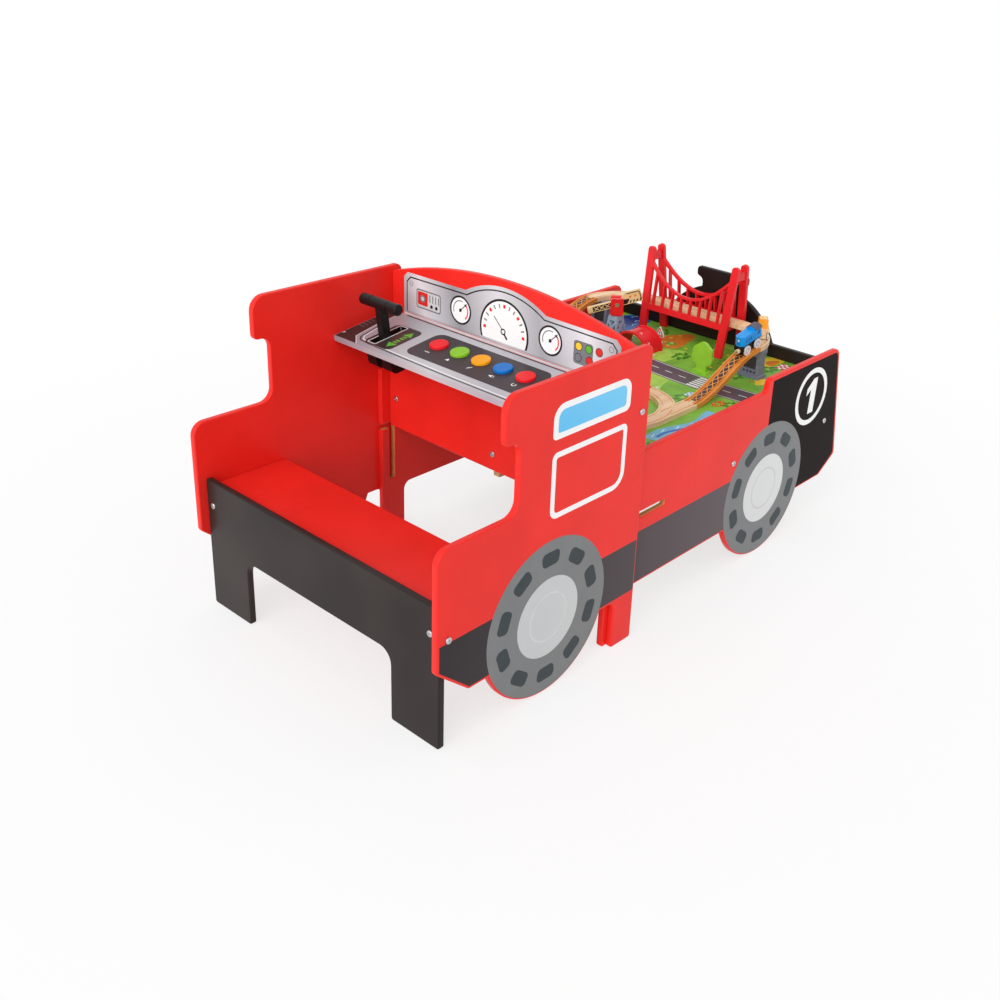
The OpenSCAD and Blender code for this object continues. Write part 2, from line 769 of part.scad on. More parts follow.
// A curve round the origin that turns left from the -Y side
module curve_track(r, angle) {
  difference() {
    rotate([0, 0, -90]) around(r, angle) difference() {
      track_section();
      groove_section();
    }
    translate([0, -r, 0]) socket();
  }
  rotate([0, 0, angle]) translate([0, -r, 0]) peg();
}
module ramp_shape(up, down) {
  xs = [for (i = [0 : curve_steps]) i / curve_steps];
  polygon(concat([for (s = xs) [s * ramp_len, climb(s) + up]],
    [for (i = [curve_steps : -1 : 0]) [xs[i] * ramp_len, climb(xs[i]) + down]]));
}
module strip(y, w) translate([0, y + w / 2, 0]) rotate([90, 0, 0]) linear_extrude(w) children();
// A ramp along +X that starts on the ground; high end first when flipped
module ramp_body() difference() {
  strip(0, track_w) ramp_shape(track_t, 0);
  for (s = [-1, 1]) strip(s * groove_off, groove_w) ramp_shape(track_t + over, track_t - groove_d);
}
module near_ramp() color("peru") place() translate([ramp_x, near_y, tray_h]) {
  difference() {
    ramp_body();
    socket();
  }
  translate([ramp_len, 0, rise]) peg();
}
module far_ramp() color("peru") place() translate([ramp_x, far_y, tray_h]) {
  difference() {
    ramp_body();
    translate([ramp_len, 0, rise]) mirror([1, 0, 0]) socket();
  }
  mirror([1, 0, 0]) peg();
}
module near_high_curve() color("wheat") place() translate([ramp_top_x, deck_y, deck_low])
  curve_track(high_r, 90);
module far_high_curve() color("wheat") place() translate([ramp_top_x, deck_end_y, deck_low])
  rotate([0, 0, 90]) curve_track(high_r, 90);
module bridge_deck() color("wheat") place() translate([bridge_x, deck_y, deck_low])
  rotate([0, 0, 90]) straight_track(deck_len);
module far_straight() color("wheat") place() translate([ramp_x, far_y, tray_h])
  rotate([0, 0, 180]) straight_track(switch_len);
module back_curve_far() color("wheat") place() translate([loop_x, loop_far_y, tray_h])
  rotate([0, 0, 180]) curve_track(loop_r, 90);
module back_straight() color("wheat") place() translate([loop_x - loop_r, loop_far_y, tray_h])
  rotate([0, 0, -90]) straight_track(loop_far_y - loop_y);
module back_curve_near() color("wheat") place() translate([loop_x, loop_y, tray_h])
  rotate([0, 0, -90]) curve_track(loop_r, 90);
module switch_track() color("wheat") place() translate([loop_x, near_y, tray_h]) {
  difference() {
    union() {
      along(switch_len) track_section();
      translate([0, branch_r, 0]) rotate([0, 0, -90]) around(branch_r, branch_angle) track_section();
    }
    along(switch_len) groove_section();
    translate([0, branch_r, 0]) rotate([0, 0, -90]) around(branch_r, branch_angle) groove_section();
    socket();
  }
  translate([switch_len, 0, 0]) peg();
  translate([0, branch_r, 0]) rotate([0, 0, branch_angle]) translate([0, -branch_r, 0]) peg();
}
module branch_curve() color("wheat") place() translate([loop_x, branch_y, tray_h])
  rotate([0, 0, branch_angle]) curve_track(branch_r, 90 - branch_angle);
module buffer_stop() color("firebrick") place() translate([loop_x + branch_r, branch_y, tray_h]) rotate([0, 0, 90]) {
  difference() {
    along(buffer_len) difference() {
      track_section();
      groove_section();
    }
    socket();
  }
  translate([buffer_len - buffer_wall_t, 0, 0]) along(buffer_wall_t) polygon(rounded(mirrored([
    [track_w / 2, 0, 0], [track_w / 2, track_t + buffer_wall_h, buffer_wall_r]])));
  for (s = [-1, 1]) translate([buffer_len - buffer_wall_t - buffer_pad_t, s * groove_off, track_t + buffer_wall_h / 2])
    rotate([0, 90, 0]) cylinder(r = buffer_pad_r, h = buffer_pad_t + buffer_gap);
}

// A tower of a frame, whose top stands further out than its foot
module tower(y, out) polygon(rounded([
  [y - tower_foot_w / 2, -frame_t, 0], [y + tower_foot_w / 2, -frame_t, 0],
  [y + out * tower_splay + tower_top_w / 2, along_frame(tower_top), tower_top_r],
  [y + out * tower_splay - tower_top_w / 2, along_frame(tower_top), tower_top_r]]));
module bay(i) {
  from = i / (hangers + 1) + hanger_w / cable_span / 2;
  to = (i + 1) / (hangers + 1) - hanger_w / cable_span / 2;
  shares = [for (k = [0 : bay_steps]) from + (to - from) * k / bay_steps];
  polygon(concat([
    [cable_y + to * cable_span, along_frame(girder_z)], [cable_y + from * cable_span, along_frame(girder_z)]],
    [for (s = shares) [cable_y + s * cable_span, along_frame(cable_under(s))]]));
}
// Two towers, a girder and a hanging cable, with an open bay between each two hangers
module bridge_frame() {
  tower(near_tower_y, -1);
  tower(far_tower_y, 1);
  difference() {
    polygon(concat([
      [near_tower_y, along_frame(girder_z - girder_h)], [far_tower_y, along_frame(girder_z - girder_h)]],
      [for (i = [curve_steps : -1 : 0]) let(s = i / curve_steps)
        [cable_y + cable_span * s, along_frame(cable_z(s))]]));
    for (i = [0 : hangers]) bay(i);
  }
}
// A frame that leans to the middle of the bridge, with feet cut level
module leaning_frame(side) translate([bridge_x + side * foot_gap / 2, 0, tray_h]) difference() {
  rotate([0, -side * frame_lean, 0]) cross_board(side > 0 ? 0 : -frame_t, frame_t) bridge_frame();
  translate([-foot_gap / 2, cable_y - tower_foot_w, -foot_gap])
    cube([foot_gap, cable_span + 2 * tower_foot_w, foot_gap]);
}
module bridge_frame_rear() color("crimson") place() leaning_frame(-1);
module bridge_frame_front() color("crimson") place() leaning_frame(1);
// A piece across the bridge between the frames
module cross_piece(y, t, z, h) translate([bridge_x, 0, 0]) strip(y, t) polygon([
  [-half_gap(z), z], [half_gap(z), z], [half_gap(z + h), z + h], [-half_gap(z + h), z + h]]);
module bridge_ties() color("crimson") place() {
  for (y = [near_tower_y, far_tower_y]) cross_piece(y, bearer_w, deck_low - bearer_h, bearer_h);
  for (y = [cable_y, cable_y + cable_span]) cross_piece(y, tie_t, tower_top - tie_drop, tie_h);
}
pier_h = deck_low - tray_h;
// A pier with a sunk panel on both broad faces and a row of openings below it
module pier() difference() {
  union() {
    cross_board(-pier_t / 2, pier_t) polygon(rounded(mirrored([
      [pier_body_w / 2, 0, 0], [pier_body_w / 2, pier_h - 2 * pier_cap_h, pier_r],
      [pier_w / 2, pier_h - pier_cap_h, pier_r], [pier_w / 2, pier_h, 0]])));
    cross_board(-pier_base_t / 2, pier_base_t) polygon(rounded(mirrored([
      [pier_w / 2, 0, 0], [pier_w / 2, pier_base_h, pier_r]])));
  }
  for (s = [-1, 1]) translate([s * pier_t / 2, 0, pier_panel_z + pier_panel_h / 2])
    cube([2 * pier_panel_d, pier_panel_w, pier_panel_h], center = true);
  for (i = [0 : pier_vents - 1])
    translate([-pier_t, (i - (pier_vents - 1) / 2) * pier_vent_pitch - pier_vent_w / 2, pier_vent_z])
      cube([2 * pier_t, pier_vent_w, pier_vent_h]);
}
pier_side = sqrt(high_r * high_r - pier_off * pier_off) - pier_in;
module bridge_piers() color("slategray") place() for (y = [deck_y - pier_side, deck_end_y + pier_side])
  translate([ramp_top_x + pier_off, y, tray_h]) pier();

// Two wheels on an axle along Y, round the origin
module wheel_pair(r, tread) {
  rotate([90, 0, 0]) translate([0, 0, -groove_off]) cylinder(r = axle_r, h = 2 * groove_off, $fn = 32);
  for (s = [-1, 1]) translate([0, s * groove_off, 0]) rotate([s * -90, 0, 0]) translate([0, 0, -tread / 2])
    difference() {
      cylinder(r = r, h = tread);
      translate([0, 0, tread - hub_dish]) difference() {
        drill(r * hub_r_share, hub_dish);
        translate([0, 0, -over]) cylinder(r = 2 * axle_r, h = hub_dish + 2 * over);
      }
    }
}
module axle_bore(x) translate([x, -chassis_w / 2 - over, 0]) rotate([-90, 0, 0])
  cylinder(r = axle_r + axle_fit, h = chassis_w + 2 * over, $fn = 32);
// Locomotive's own frame: its axle line, tilted with the ramp, front to -X
module at_loco() translate([loco_mid[0], near_y, loco_mid[1]]) rotate([0, -loco_tilt, 0]) children();
loco_back = loco_span / 2 + chassis_rear;
loco_nose = loco_span / 2 + hood_front;
module loco_chassis() color([0.15, 0.15, 0.15]) place() at_loco() difference() {
  union() {
    span([-loco_nose, -chassis_w / 2, -chassis_low], [loco_back, chassis_w / 2, plate_z]);
    span([-loco_nose, -plate_w / 2, plate_z], [loco_back, plate_w / 2, plate_top]);
    span([-loco_nose, -plate_w / 2, bumper_low], [-loco_nose + bumper_t, plate_w / 2, plate_z]);
    translate([-loco_nose - coupler_len, 0, coupler_z]) rotate([0, 90, 0])
      cylinder(r = coupler_r, h = loco_nose + loco_back + 2 * coupler_len);
  }
  for (s = [-1, 1]) axle_bore(s * loco_span / 2);
}
module loco_body() color("dodgerblue") place() at_loco() translate([0, 0, plate_top]) difference() {
  union() {
    linear_extrude(hood_h) polygon(rounded([
      [loco_back - cab_back, hood_w / 2, 0], [-loco_nose + hood_chamfer, hood_w / 2, hood_r],
      [-loco_nose, hood_w / 2 - hood_chamfer, hood_r], [-loco_nose, hood_chamfer - hood_w / 2, hood_r],
      [-loco_nose + hood_chamfer, -hood_w / 2, hood_r], [loco_back - cab_back, -hood_w / 2, 0]]));
    along_x(loco_back - loco_cab_len, loco_back) {
      translate([-loco_cab_w / 2, 0]) square([loco_cab_w, loco_cab_h]);
      intersection() {
        translate([0, arch_z]) circle(roof_arch_r, $fn = 96);
        translate([-loco_cab_w / 2, loco_cab_h]) square([loco_cab_w, roof_arch_r]);
      }
    }
  }
  for (s = [-1, 1]) translate([loco_back - loco_cab_len / 2, s * loco_cab_w / 2,
    loco_cab_h - loco_window_drop - loco_window_h / 2])
    cube([loco_window_w, 2 * loco_window_d, loco_window_h], center = true);
}
module along_x(a, b) translate([a, 0, 0]) along(b - a) children();
// Centre of the roof's arch above the chassis plate
arch_z = loco_cab_h - sqrt(roof_arch_r * roof_arch_r - loco_cab_w * loco_cab_w / 4);
module loco_roof() color("dimgray") place() at_loco() translate([0, 0, plate_top])
  along_x(loco_back - loco_cab_len - roof_over, loco_back + roof_over) intersection() {
    translate([0, arch_z]) difference() {
      circle(roof_arch_r + roof_t, $fn = 96);
      circle(roof_arch_r, $fn = 96);
    }
    translate([-loco_cab_w, loco_cab_h]) square([2 * loco_cab_w, 2 * roof_arch_r]);
  }
module loco_front_axle() color("lightgray") place() at_loco() translate([-loco_span / 2, 0, 0]) wheel_pair(loco_wheel_r, tread_t);
module loco_rear_axle() color("lightgray") place() at_loco() translate([loco_span / 2, 0, 0]) wheel_pair(loco_wheel_r, tread_t);

// Wagon's own frame: X points along the curve
module at_wagon() translate([ramp_top_x, deck_y, wagon_z]) rotate([0, 0, wagon_turn])
  translate([0, -high_r + wagon_in, 0]) children();
wagon_half = wagon_base / 2 + wagon_over;
module wagon_body() color("wheat") place() at_wagon() difference() {
  union() {
    span([-wagon_half, -chassis_w / 2, -chassis_low], [wagon_half, chassis_w / 2, bed_z]);
    span([-wagon_half, -wagon_w / 2, bed_z], [wagon_half, wagon_w / 2, bed_z + wagon_bed_t]);
    translate([-wagon_half - coupler_len, 0, coupler_z]) rotate([0, 90, 0])
      cylinder(r = coupler_r, h = 2 * (wagon_half + coupler_len));
  }
  for (s = [-1, 1]) axle_bore(s * wagon_base / 2);
}
module wagon_load() color("orange") place() at_wagon() translate([0, 0, bed_z + wagon_bed_t]) difference() {
  along_x(-load_len / 2, load_len / 2) polygon(rounded(mirrored([
    [load_w / 2, 0, 0], [load_w / 2, load_h, load_r]])));
  for (s = [-1, 1]) translate([s * load_len / 4 - load_groove_w / 2, -load_w, load_h - load_groove_d])
    cube([load_groove_w, 2 * load_w, load_groove_d + over]);
}
module wagon_front_axle() color("lightgray") place() at_wagon() translate([-wagon_base / 2, 0, 0])
  wheel_pair(wagon_wheel_r, wagon_tread_t);
module wagon_rear_axle() color("lightgray") place() at_wagon() translate([wagon_base / 2, 0, 0])
  wheel_pair(wagon_wheel_r, wagon_tread_t);

module tree() color("limegreen") place() translate([tree_x, tree_y, tray_h]) {
  cross_board(-tree_t / 2, tree_t) {
    for (c = crown_places_shares) translate([c[0] * tree_w, c[1] * (tree_h - crown_r)]) circle(crown_r);
    polygon([[-trunk_foot_w_share * tree_w, 0], [trunk_foot_w_share * tree_w, 0],
      [trunk_top_w_share * tree_w, tree_base_t], [trunk_top_w_share * tree_w, trunk_h_share * tree_h],
      [-trunk_top_w_share * tree_w, trunk_h_share * tree_h], [-trunk_top_w_share * tree_w, tree_base_t]]);
  }
  linear_extrude(tree_base_t) polygon(rounded([
    [-tree_base_len / 2, -tree_base_w / 2, tree_base_r], [tree_base_len / 2, -tree_base_w / 2, tree_base_r],
    [tree_base_len / 2, tree_base_w / 2, tree_base_r], [-tree_base_len / 2, tree_base_w / 2, tree_base_r]]));
}
module half_ring(r, t) intersection() {
  difference() {
    circle(r, $fn = 96);
    circle(r - t, $fn = 96);
  }
  translate([-r, 0]) square([2 * r, r]);
}
module tunnel() color("red") place() translate([tunnel_x, tunnel_y, tray_h]) {
  along(tunnel_len) half_ring(tunnel_r - tunnel_rim_t, tunnel_t - tunnel_rim_t);
  for (x = [0, tunnel_len - tunnel_rim_len]) translate([x, 0, 0]) along(tunnel_rim_len) half_ring(tunnel_r, tunnel_t);
}
module road_sign() color("white") place() translate([sign_x, sign_y, tray_h]) {
  cylinder(r = sign_base_r, h = sign_base_t);
  cylinder(r = sign_post_r, h = sign_post_h);
  cross_board(-sign_t / 2, sign_t) translate([0, sign_post_h - sign_base_t]) polygon(rounded([
    [-sign_size / 2, 0, sign_r], [sign_size / 2, 0, sign_r], [0, sign_size * sin(60), sign_r]]));
}

module crane_side(inset) polygon([[-crane_foot_w / 2 + inset, 0], [crane_foot_w / 2 - inset, 0],
  [crane_top_w / 2 - inset, crane_h], [-crane_top_w / 2 + inset, crane_h]]);
// The open panel of one tower side, crossed by two braces
module crane_window() {
  window_top = crane_h - crane_cap_t;
  difference() {
    intersection() {
      crane_side(crane_post_share * crane_top_w);
      translate([-crane_foot_w, crane_foot_t]) square([2 * crane_foot_w, window_top - crane_foot_t]);
    }
    for (s = [-1, 1]) polygon([
      [-s * crane_foot_w / 2 - crane_brace_w, crane_foot_t], [-s * crane_foot_w / 2 + crane_brace_w, crane_foot_t],
      [s * crane_top_w / 2 + crane_brace_w, window_top], [s * crane_top_w / 2 - crane_brace_w, window_top]]);
  }
}
module at_crane() translate([crane_x, crane_y, 0]) rotate([0, 0, crane_turn]) children();
module crane_tower() color("lightslategray") place() translate([crane_x, crane_y, tray_h]) difference() {
  intersection() {
    cross_board(-crane_foot_w / 2, crane_foot_w) crane_side(0);
    side_board(crane_foot_w / 2, crane_foot_w) crane_side(0);
  }
  cross_board(-crane_foot_w, 2 * crane_foot_w) crane_window();
  side_board(crane_foot_w, 2 * crane_foot_w) crane_window();
  translate([0, 0, crane_h - spigot_len - spigot_gap]) drill(spigot_r + pin_fit, spigot_len + spigot_gap);
}
module crane_cab() color("red") place() at_crane() difference() {
  union() {
    translate([0, 0, turntable_z - spigot_len]) cylinder(r = spigot_r, h = spigot_len + turntable_t);
    translate([0, 0, turntable_z]) cylinder(r = turntable_r, h = turntable_t);
    translate([0, crane_cab_w / 2, turntable_z + turntable_t]) rotate([90, 0, 0]) linear_extrude(crane_cab_w)
      polygon(rounded(mirrored([[crane_cab_len / 2, 0, 0], [crane_cab_len / 2, crane_cab_h, crane_cab_r]])));
  }
  translate([-crane_cab_len, -boom_t / 2 - boom_gap, boom_pivot_z - boom_floor])
    cube([2 * crane_cab_len, boom_t + 2 * boom_gap, crane_cab_h]);
  translate([0, crane_cab_w, boom_pivot_z]) rotate([90, 0, 0]) cylinder(r = boom_pin_r + pin_fit, h = 2 * crane_cab_w);
}
module at_boom() at_crane() translate([0, 0, boom_pivot_z]) rotate([0, -boom_lift, 0]) children();
boom_from = -boom_low_share * boom_len;
module crane_boom() color("burlywood") place() at_boom() difference() {
  union() {
    translate([0, boom_t / 2, 0]) rotate([90, 0, 0]) linear_extrude(boom_t) polygon(rounded([
      [boom_from, -boom_low_w / 2, boom_r], [boom_from + boom_len, -boom_low_w / 2, boom_r],
      [boom_from + boom_len, boom_high_w - boom_low_w / 2, boom_r],
      [boom_from + boom_step_end_share * boom_len, boom_high_w - boom_low_w / 2, boom_r],
      [boom_from + boom_step_share * boom_len, boom_low_w / 2, boom_r], [boom_from, boom_low_w / 2, boom_r]]));
    translate([boom_from + boom_low_w / 2, boom_t / 2 + pulley_t, 0]) rotate([90, 0, 0])
      cylinder(r = pulley_r, h = boom_t + 2 * pulley_t);
  }
  translate([0, boom_t, 0]) rotate([90, 0, 0]) cylinder(r = boom_pin_r + pin_fit, h = 2 * boom_t);
}
module crane_pin() color("silver") place() at_crane() translate([0, crane_cab_w / 2, boom_pivot_z]) rotate([90, 0, 0]) {
  cylinder(r = boom_pin_r, h = crane_cab_w);
  translate([0, 0, -boom_pin_head_t]) cylinder(r = boom_pin_head_r, h = boom_pin_head_t);
  translate([0, 0, crane_cab_w]) cylinder(r = boom_pin_head_r, h = boom_pin_head_t);
}

cab_side_right();
cab_side_left();
rear_leg_panel();
seat_board();
seat_battens();
dash_shelf();
bulkhead();
front_wall();
button_box();
button_one();
button_two();
button_three();
button_four();
button_five();
lever_bracket();
lever_pin();
lever_stem();
lever_grip();
table_side_right();
table_side_left();
end_panel();
tray_board();
tray_battens();
centre_rail();
mid_beam();
nose_beam();
bolts();
near_ramp();
far_ramp();
near_high_curve();
far_high_curve();
bridge_deck();
bridge_frame_rear();
bridge_frame_front();
bridge_ties();
bridge_piers();
switch_track();
branch_curve();
buffer_stop();
back_curve_near();
back_straight();
back_curve_far();
far_straight();
loco_chassis();
loco_body();
loco_roof();
loco_front_axle();
loco_rear_axle();
wagon_body();
wagon_load();
wagon_front_axle();
wagon_rear_axle();
tree();
tunnel();
crane_tower();
crane_cab();
crane_boom();
crane_pin();
road_sign();
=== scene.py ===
import json
import math
import bmesh
import bpy
from mathutils import Matrix, Vector
from mathutils.geometry import tessellate_polygon


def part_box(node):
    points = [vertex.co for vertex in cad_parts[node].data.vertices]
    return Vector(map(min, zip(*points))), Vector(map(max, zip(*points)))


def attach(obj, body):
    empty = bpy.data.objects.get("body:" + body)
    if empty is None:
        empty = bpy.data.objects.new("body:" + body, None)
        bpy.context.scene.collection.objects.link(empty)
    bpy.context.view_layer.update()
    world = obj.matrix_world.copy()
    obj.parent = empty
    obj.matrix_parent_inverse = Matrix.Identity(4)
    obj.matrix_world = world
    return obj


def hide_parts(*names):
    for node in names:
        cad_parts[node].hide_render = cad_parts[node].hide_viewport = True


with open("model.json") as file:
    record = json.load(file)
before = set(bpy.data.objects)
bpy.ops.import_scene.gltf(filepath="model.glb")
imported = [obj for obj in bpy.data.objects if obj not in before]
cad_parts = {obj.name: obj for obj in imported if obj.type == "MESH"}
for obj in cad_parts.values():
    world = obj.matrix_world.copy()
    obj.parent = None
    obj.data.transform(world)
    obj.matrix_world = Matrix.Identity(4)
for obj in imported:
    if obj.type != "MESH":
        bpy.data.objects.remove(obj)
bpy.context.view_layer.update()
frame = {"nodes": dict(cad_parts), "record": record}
NODES = frame["nodes"]
JOINTS = {j["name"]: j for j in frame["record"]["behaviour"]["joints"]}
MM = 0.001
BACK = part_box("cab_side_right")[0].x
TABLE = "table"
X, Y, Z = Vector((1, 0, 0)), Vector((0, 1, 0)), Vector((0, 0, 1))


# Lengths below are millimetres, with x from the back edge of the cab and z from the floor.
def at(x, y, z):
    return Vector((BACK + x * MM, y * MM, z * MM))


def in_mm(p):
    return Vector(((p.x - BACK) / MM, p.y / MM, p.z / MM))


def low(node):
    return in_mm(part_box(node)[0])


def high(node):
    return in_mm(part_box(node)[1])


def middle(node):
    return (low(node) + high(node)) / 2


def pivot(joint):
    return Vector(JOINTS[joint]["pos_m"])


def tone(r, g, b):
    """A display colour from 0 to 255 as a shader colour."""
    def linear(c):
        c = c / 255
        return c / 12.92 if c <= 0.04045 else ((c + 0.055) / 1.055) ** 2.4
    return (linear(r), linear(g), linear(b), 1.0)


# Materials
def nodes_of(name):
    m = bpy.data.materials.new(name)
    m.use_nodes = True
    return m, m.node_tree.nodes, m.node_tree.links, m.node_tree.nodes["Principled BSDF"]


def give(node, **values):
    """Sets inputs of a shader node, with _ for each space in a name."""
    for key, value in values.items():
        node.inputs[key.replace("_", " ")].default_value = value


def spread(nodes, links, stretch):
    """Object coordinates, stretched, as a socket."""
    coord = nodes.new("ShaderNodeTexCoord")
    place = nodes.new("ShaderNodeMapping")
    give(place, Scale=stretch)
    links.new(coord.outputs["Object"], place.inputs["Vector"])
    return place.outputs["Vector"]


def noise(nodes, links, vector, scale, detail=3.0, rough=0.5):
    n = nodes.new("ShaderNodeTexNoise")
    give(n, Scale=scale, Detail=detail, Roughness=rough)
    links.new(vector, n.inputs["Vector"])
    return n.outputs["Fac"]


def ramp(nodes, links, value, stops):
    r = nodes.new("ShaderNodeValToRGB")
    for _ in stops[2:]:
        r.color_ramp.elements.new(0.5)
    for e, (place, colour) in zip(r.color_ramp.elements, stops):
        e.position = place
        e.color = colour
    links.new(value, r.inputs["Fac"])
    return r.outputs["Color"]


def surfaced(nodes, links, shader, value, rough, vary, depth, strength):
    """Uneven gloss and a faint relief, both from one noise."""
    r = nodes.new("ShaderNodeMapRange")
    give(r, From_Min=0.3, From_Max=0.7, To_Min=rough * (1 - vary), To_Max=rough * (1 + vary))
    links.new(value, r.inputs["Value"])
    links.new(r.outputs["Result"], shader.inputs["Roughness"])
    b = nodes.new("ShaderNodeBump")
    give(b, Strength=strength, Distance=depth)
    links.new(value, b.inputs["Height"])
    links.new(b.outputs["Normal"], shader.inputs["Normal"])


def coated(name, colour, rough=0.35, vary=0.05, scale=9, fine=700, depth=0.00005,
           metallic=0.0, coat=0.0, gloss=0.5):
    """Paint, print or plastic: one colour with soft clouds, a fine skin and uneven gloss."""
    m, nodes, links, s = nodes_of(name)
    v = spread(nodes, links, (1, 1, 1))
    clouds = noise(nodes, links, v, scale)
    base = tone(*colour)
    down = tuple(c * (1 - vary) for c in base[:3]) + (1.0,)
    up = tuple(min(1, c * (1 + vary) + 0.004 * vary) for c in base[:3]) + (1.0,)
    links.new(ramp(nodes, links, clouds, [(0.3, down), (0.7, up)]), s.inputs["Base Color"])
    skin = noise(nodes, links, v, fine, 2)
    surfaced(nodes, links, s, skin, rough, 0.12, depth, 0.5)
    give(s, Metallic=metallic, Specular_IOR_Level=gloss, Coat_Weight=coat, Coat_Roughness=0.12)
    return m


def wooden(name, dark, light, along=(1, 0, 0), rough=0.45, grain=55, pores=260, depth=0.00012):
    """Wood with the grain along one axis: streaks, pores that make the gloss uneven, and a faint relief."""
    m, nodes, links, s = nodes_of(name)
    squeeze = 0.07
    stretch = tuple(squeeze if a else 1.0 for a in along)
    v = spread(nodes, links, stretch)
    streaks = noise(nodes, links, v, grain, 5, 0.6)
    between = [(a + b) / 2 for a, b in zip(dark, light)]
    stops = [(0.28, tone(*dark)), (0.5, tone(*between)), (0.72, tone(*light))]
    links.new(ramp(nodes, links, streaks, stops), s.inputs["Base Color"])
    pore = noise(nodes, links, v, pores, 3, 0.7)
    surfaced(nodes, links, s, pore, rough, 0.15, depth, 0.6)
    return m


def graded(name, axis, start, end, stops, rough=0.32, gloss=0.5):
    """A print whose tone changes across it, from one end of an axis in metres to the other; on the charcoal
    stripes the change is painted sheen.
    """
    m, nodes, links, s = nodes_of(name)
    coord = nodes.new("ShaderNodeTexCoord")
    dot = nodes.new("ShaderNodeVectorMath")
    dot.operation = "DOT_PRODUCT"
    dot.inputs[1].default_value = axis
    links.new(coord.outputs["Object"], dot.inputs[0])
    span = nodes.new("ShaderNodeMapRange")
    give(span, From_Min=start, From_Max=end)
    links.new(dot.outputs["Value"], span.inputs["Value"])
    tones = [(place, tone(*colour)) for place, colour in stops]
    links.new(ramp(nodes, links, span.outputs["Result"], tones), s.inputs["Base Color"])
    skin = noise(nodes, links, coord.outputs["Object"], 700, 2)
    surfaced(nodes, links, s, skin, rough, 0.12, 0.00004, 0.4)
    give(s, Specular_IOR_Level=gloss)
    return m


RED = coated("red_lacquer", (234, 42, 34), 0.34, gloss=0.2)
# Black lacquer whose broad clouds, up to 55 % lighter or darker, are painted sheen: reflections laid into the
# colour.
BLACK = coated("black_lacquer_painted_sheen", (42, 34, 32), 0.34, 0.55, 2.4, gloss=0.16)
BARE = wooden("bare_softwood", (176, 132, 84), (214, 174, 124), (1, 0, 0))
CORE = coated("board_core", (206, 140, 84), 0.75, 0.12, 60, 900, 0.0001)
PLASTIC = coated("black_plastic_grain", (22, 19, 19), 0.38, 0.1, 30, 1500, 0.00008, gloss=0.22)
STEEL = coated("plated_steel", (196, 196, 200), 0.28, 0.05, 40, 1200, 0.00002, 1.0)
BUTTON = {"button_one": (236, 28, 34), "button_two": (134, 196, 36), "button_three": (252, 164, 18),
          "button_four": (0, 112, 196), "button_five": (236, 28, 34)}
RAMP = wooden("stained_ramp", (198, 116, 38), (236, 160, 66), (1, 0, 0), 0.42)
BEECH = wooden("beech_track", (226, 184, 140), (249, 222, 184), (1, 0, 0), 0.45)
BEECH_ACROSS = wooden("beech_deck", (226, 184, 140), (249, 222, 184), (0, 1, 0), 0.45)
RED_TOY = coated("red_toy_plastic", (230, 30, 38), 0.34, 0.04, 20, gloss=0.3)
STONE = coated("grey_stone_plastic", (126, 132, 154), 0.5, 0.14, 120, 500, 0.0003)
GREY_TOY = coated("blue_grey_plastic", (150, 172, 196), 0.42, 0.06, 40)
BLUE_TOY = coated("blue_toy_plastic", (10, 150, 230), 0.34, 0.06, 60, gloss=0.3)
ROOF = coated("dark_grey_plastic", (78, 78, 92), 0.42, 0.08, 80)
WHEEL = coated("wheel_plastic", (228, 228, 232), 0.3, 0.04, 90)
ORANGE = coated("orange_toy_paint", (248, 160, 28), 0.36, 0.08, 60)
TREE = coated("green_toy_paint", (150, 210, 56), 0.42, 0.06, 50)
BOOM = wooden("boom_wood", (224, 184, 128), (246, 216, 166), (1, 1, 0), 0.45)
WHITE_TOY = coated("white_toy_paint", (238, 238, 234), 0.38, 0.03, 60)
GRASS = coated("grass_print", (124, 186, 62), 0.45, 0.22, 16, 900, 0.00003, gloss=0.3)

SILVER = graded("silver_dash", (0.35, -1.0, 0.0), -0.45, 0.45,
                [(0.0, (150, 150, 158)), (0.3, (196, 198, 202)), (0.5, (178, 178, 186)),
                 (0.72, (200, 200, 206)), (1.0, (158, 158, 170))], 0.3)
PANEL = graded("silver_panel", (0.0, -1.0, 0.25), -0.2, 0.5,
               [(0.0, (128, 128, 136)), (0.14, (222, 222, 226)), (0.3, (150, 150, 156)),
                (0.5, (214, 214, 218)), (0.66, (168, 168, 174)), (0.85, (226, 226, 230)),
                (1.0, (150, 150, 156))], 0.3)
SKY = graded("window_blue", (0.5, 0.0, 1.0), 0.37, 0.6,
             [(0.0, (90, 190, 240)), (1.0, (128, 210, 248))], 0.25)
# The stripes' rise from dark at the back to grey at the front is painted sheen, not a change in the print.
STRIPE = graded("charcoal_print_painted_sheen", (1.0, 0.0, 0.0), -0.72, 0.3,
                [(0.0, (40, 33, 35)), (0.4, (62, 53, 56)), (1.0, (94, 83, 88))], 0.36, 0.2)
NOSE = coated("nose_black_print", (30, 21, 21), 0.4, 0.12, 14, gloss=0.03)
TYRE = coated("tyre_grey_print", (122, 124, 125), 0.38, 0.04, 14, gloss=0.2)
TREAD = coated("tread_grey_print", (58, 66, 69), 0.4, 0.05, 30, gloss=0.15)
HUB = graded("hub_grey_print", (1.0, 0.0, -0.3), -0.5, 0.35,
             [(0.0, (194, 197, 198)), (1.0, (216, 218, 218))], 0.34)


def ink(name, colour, scale=40, vary=0.05):
    return coated(name + "_print", colour, 0.38, vary, scale, gloss=0.3)


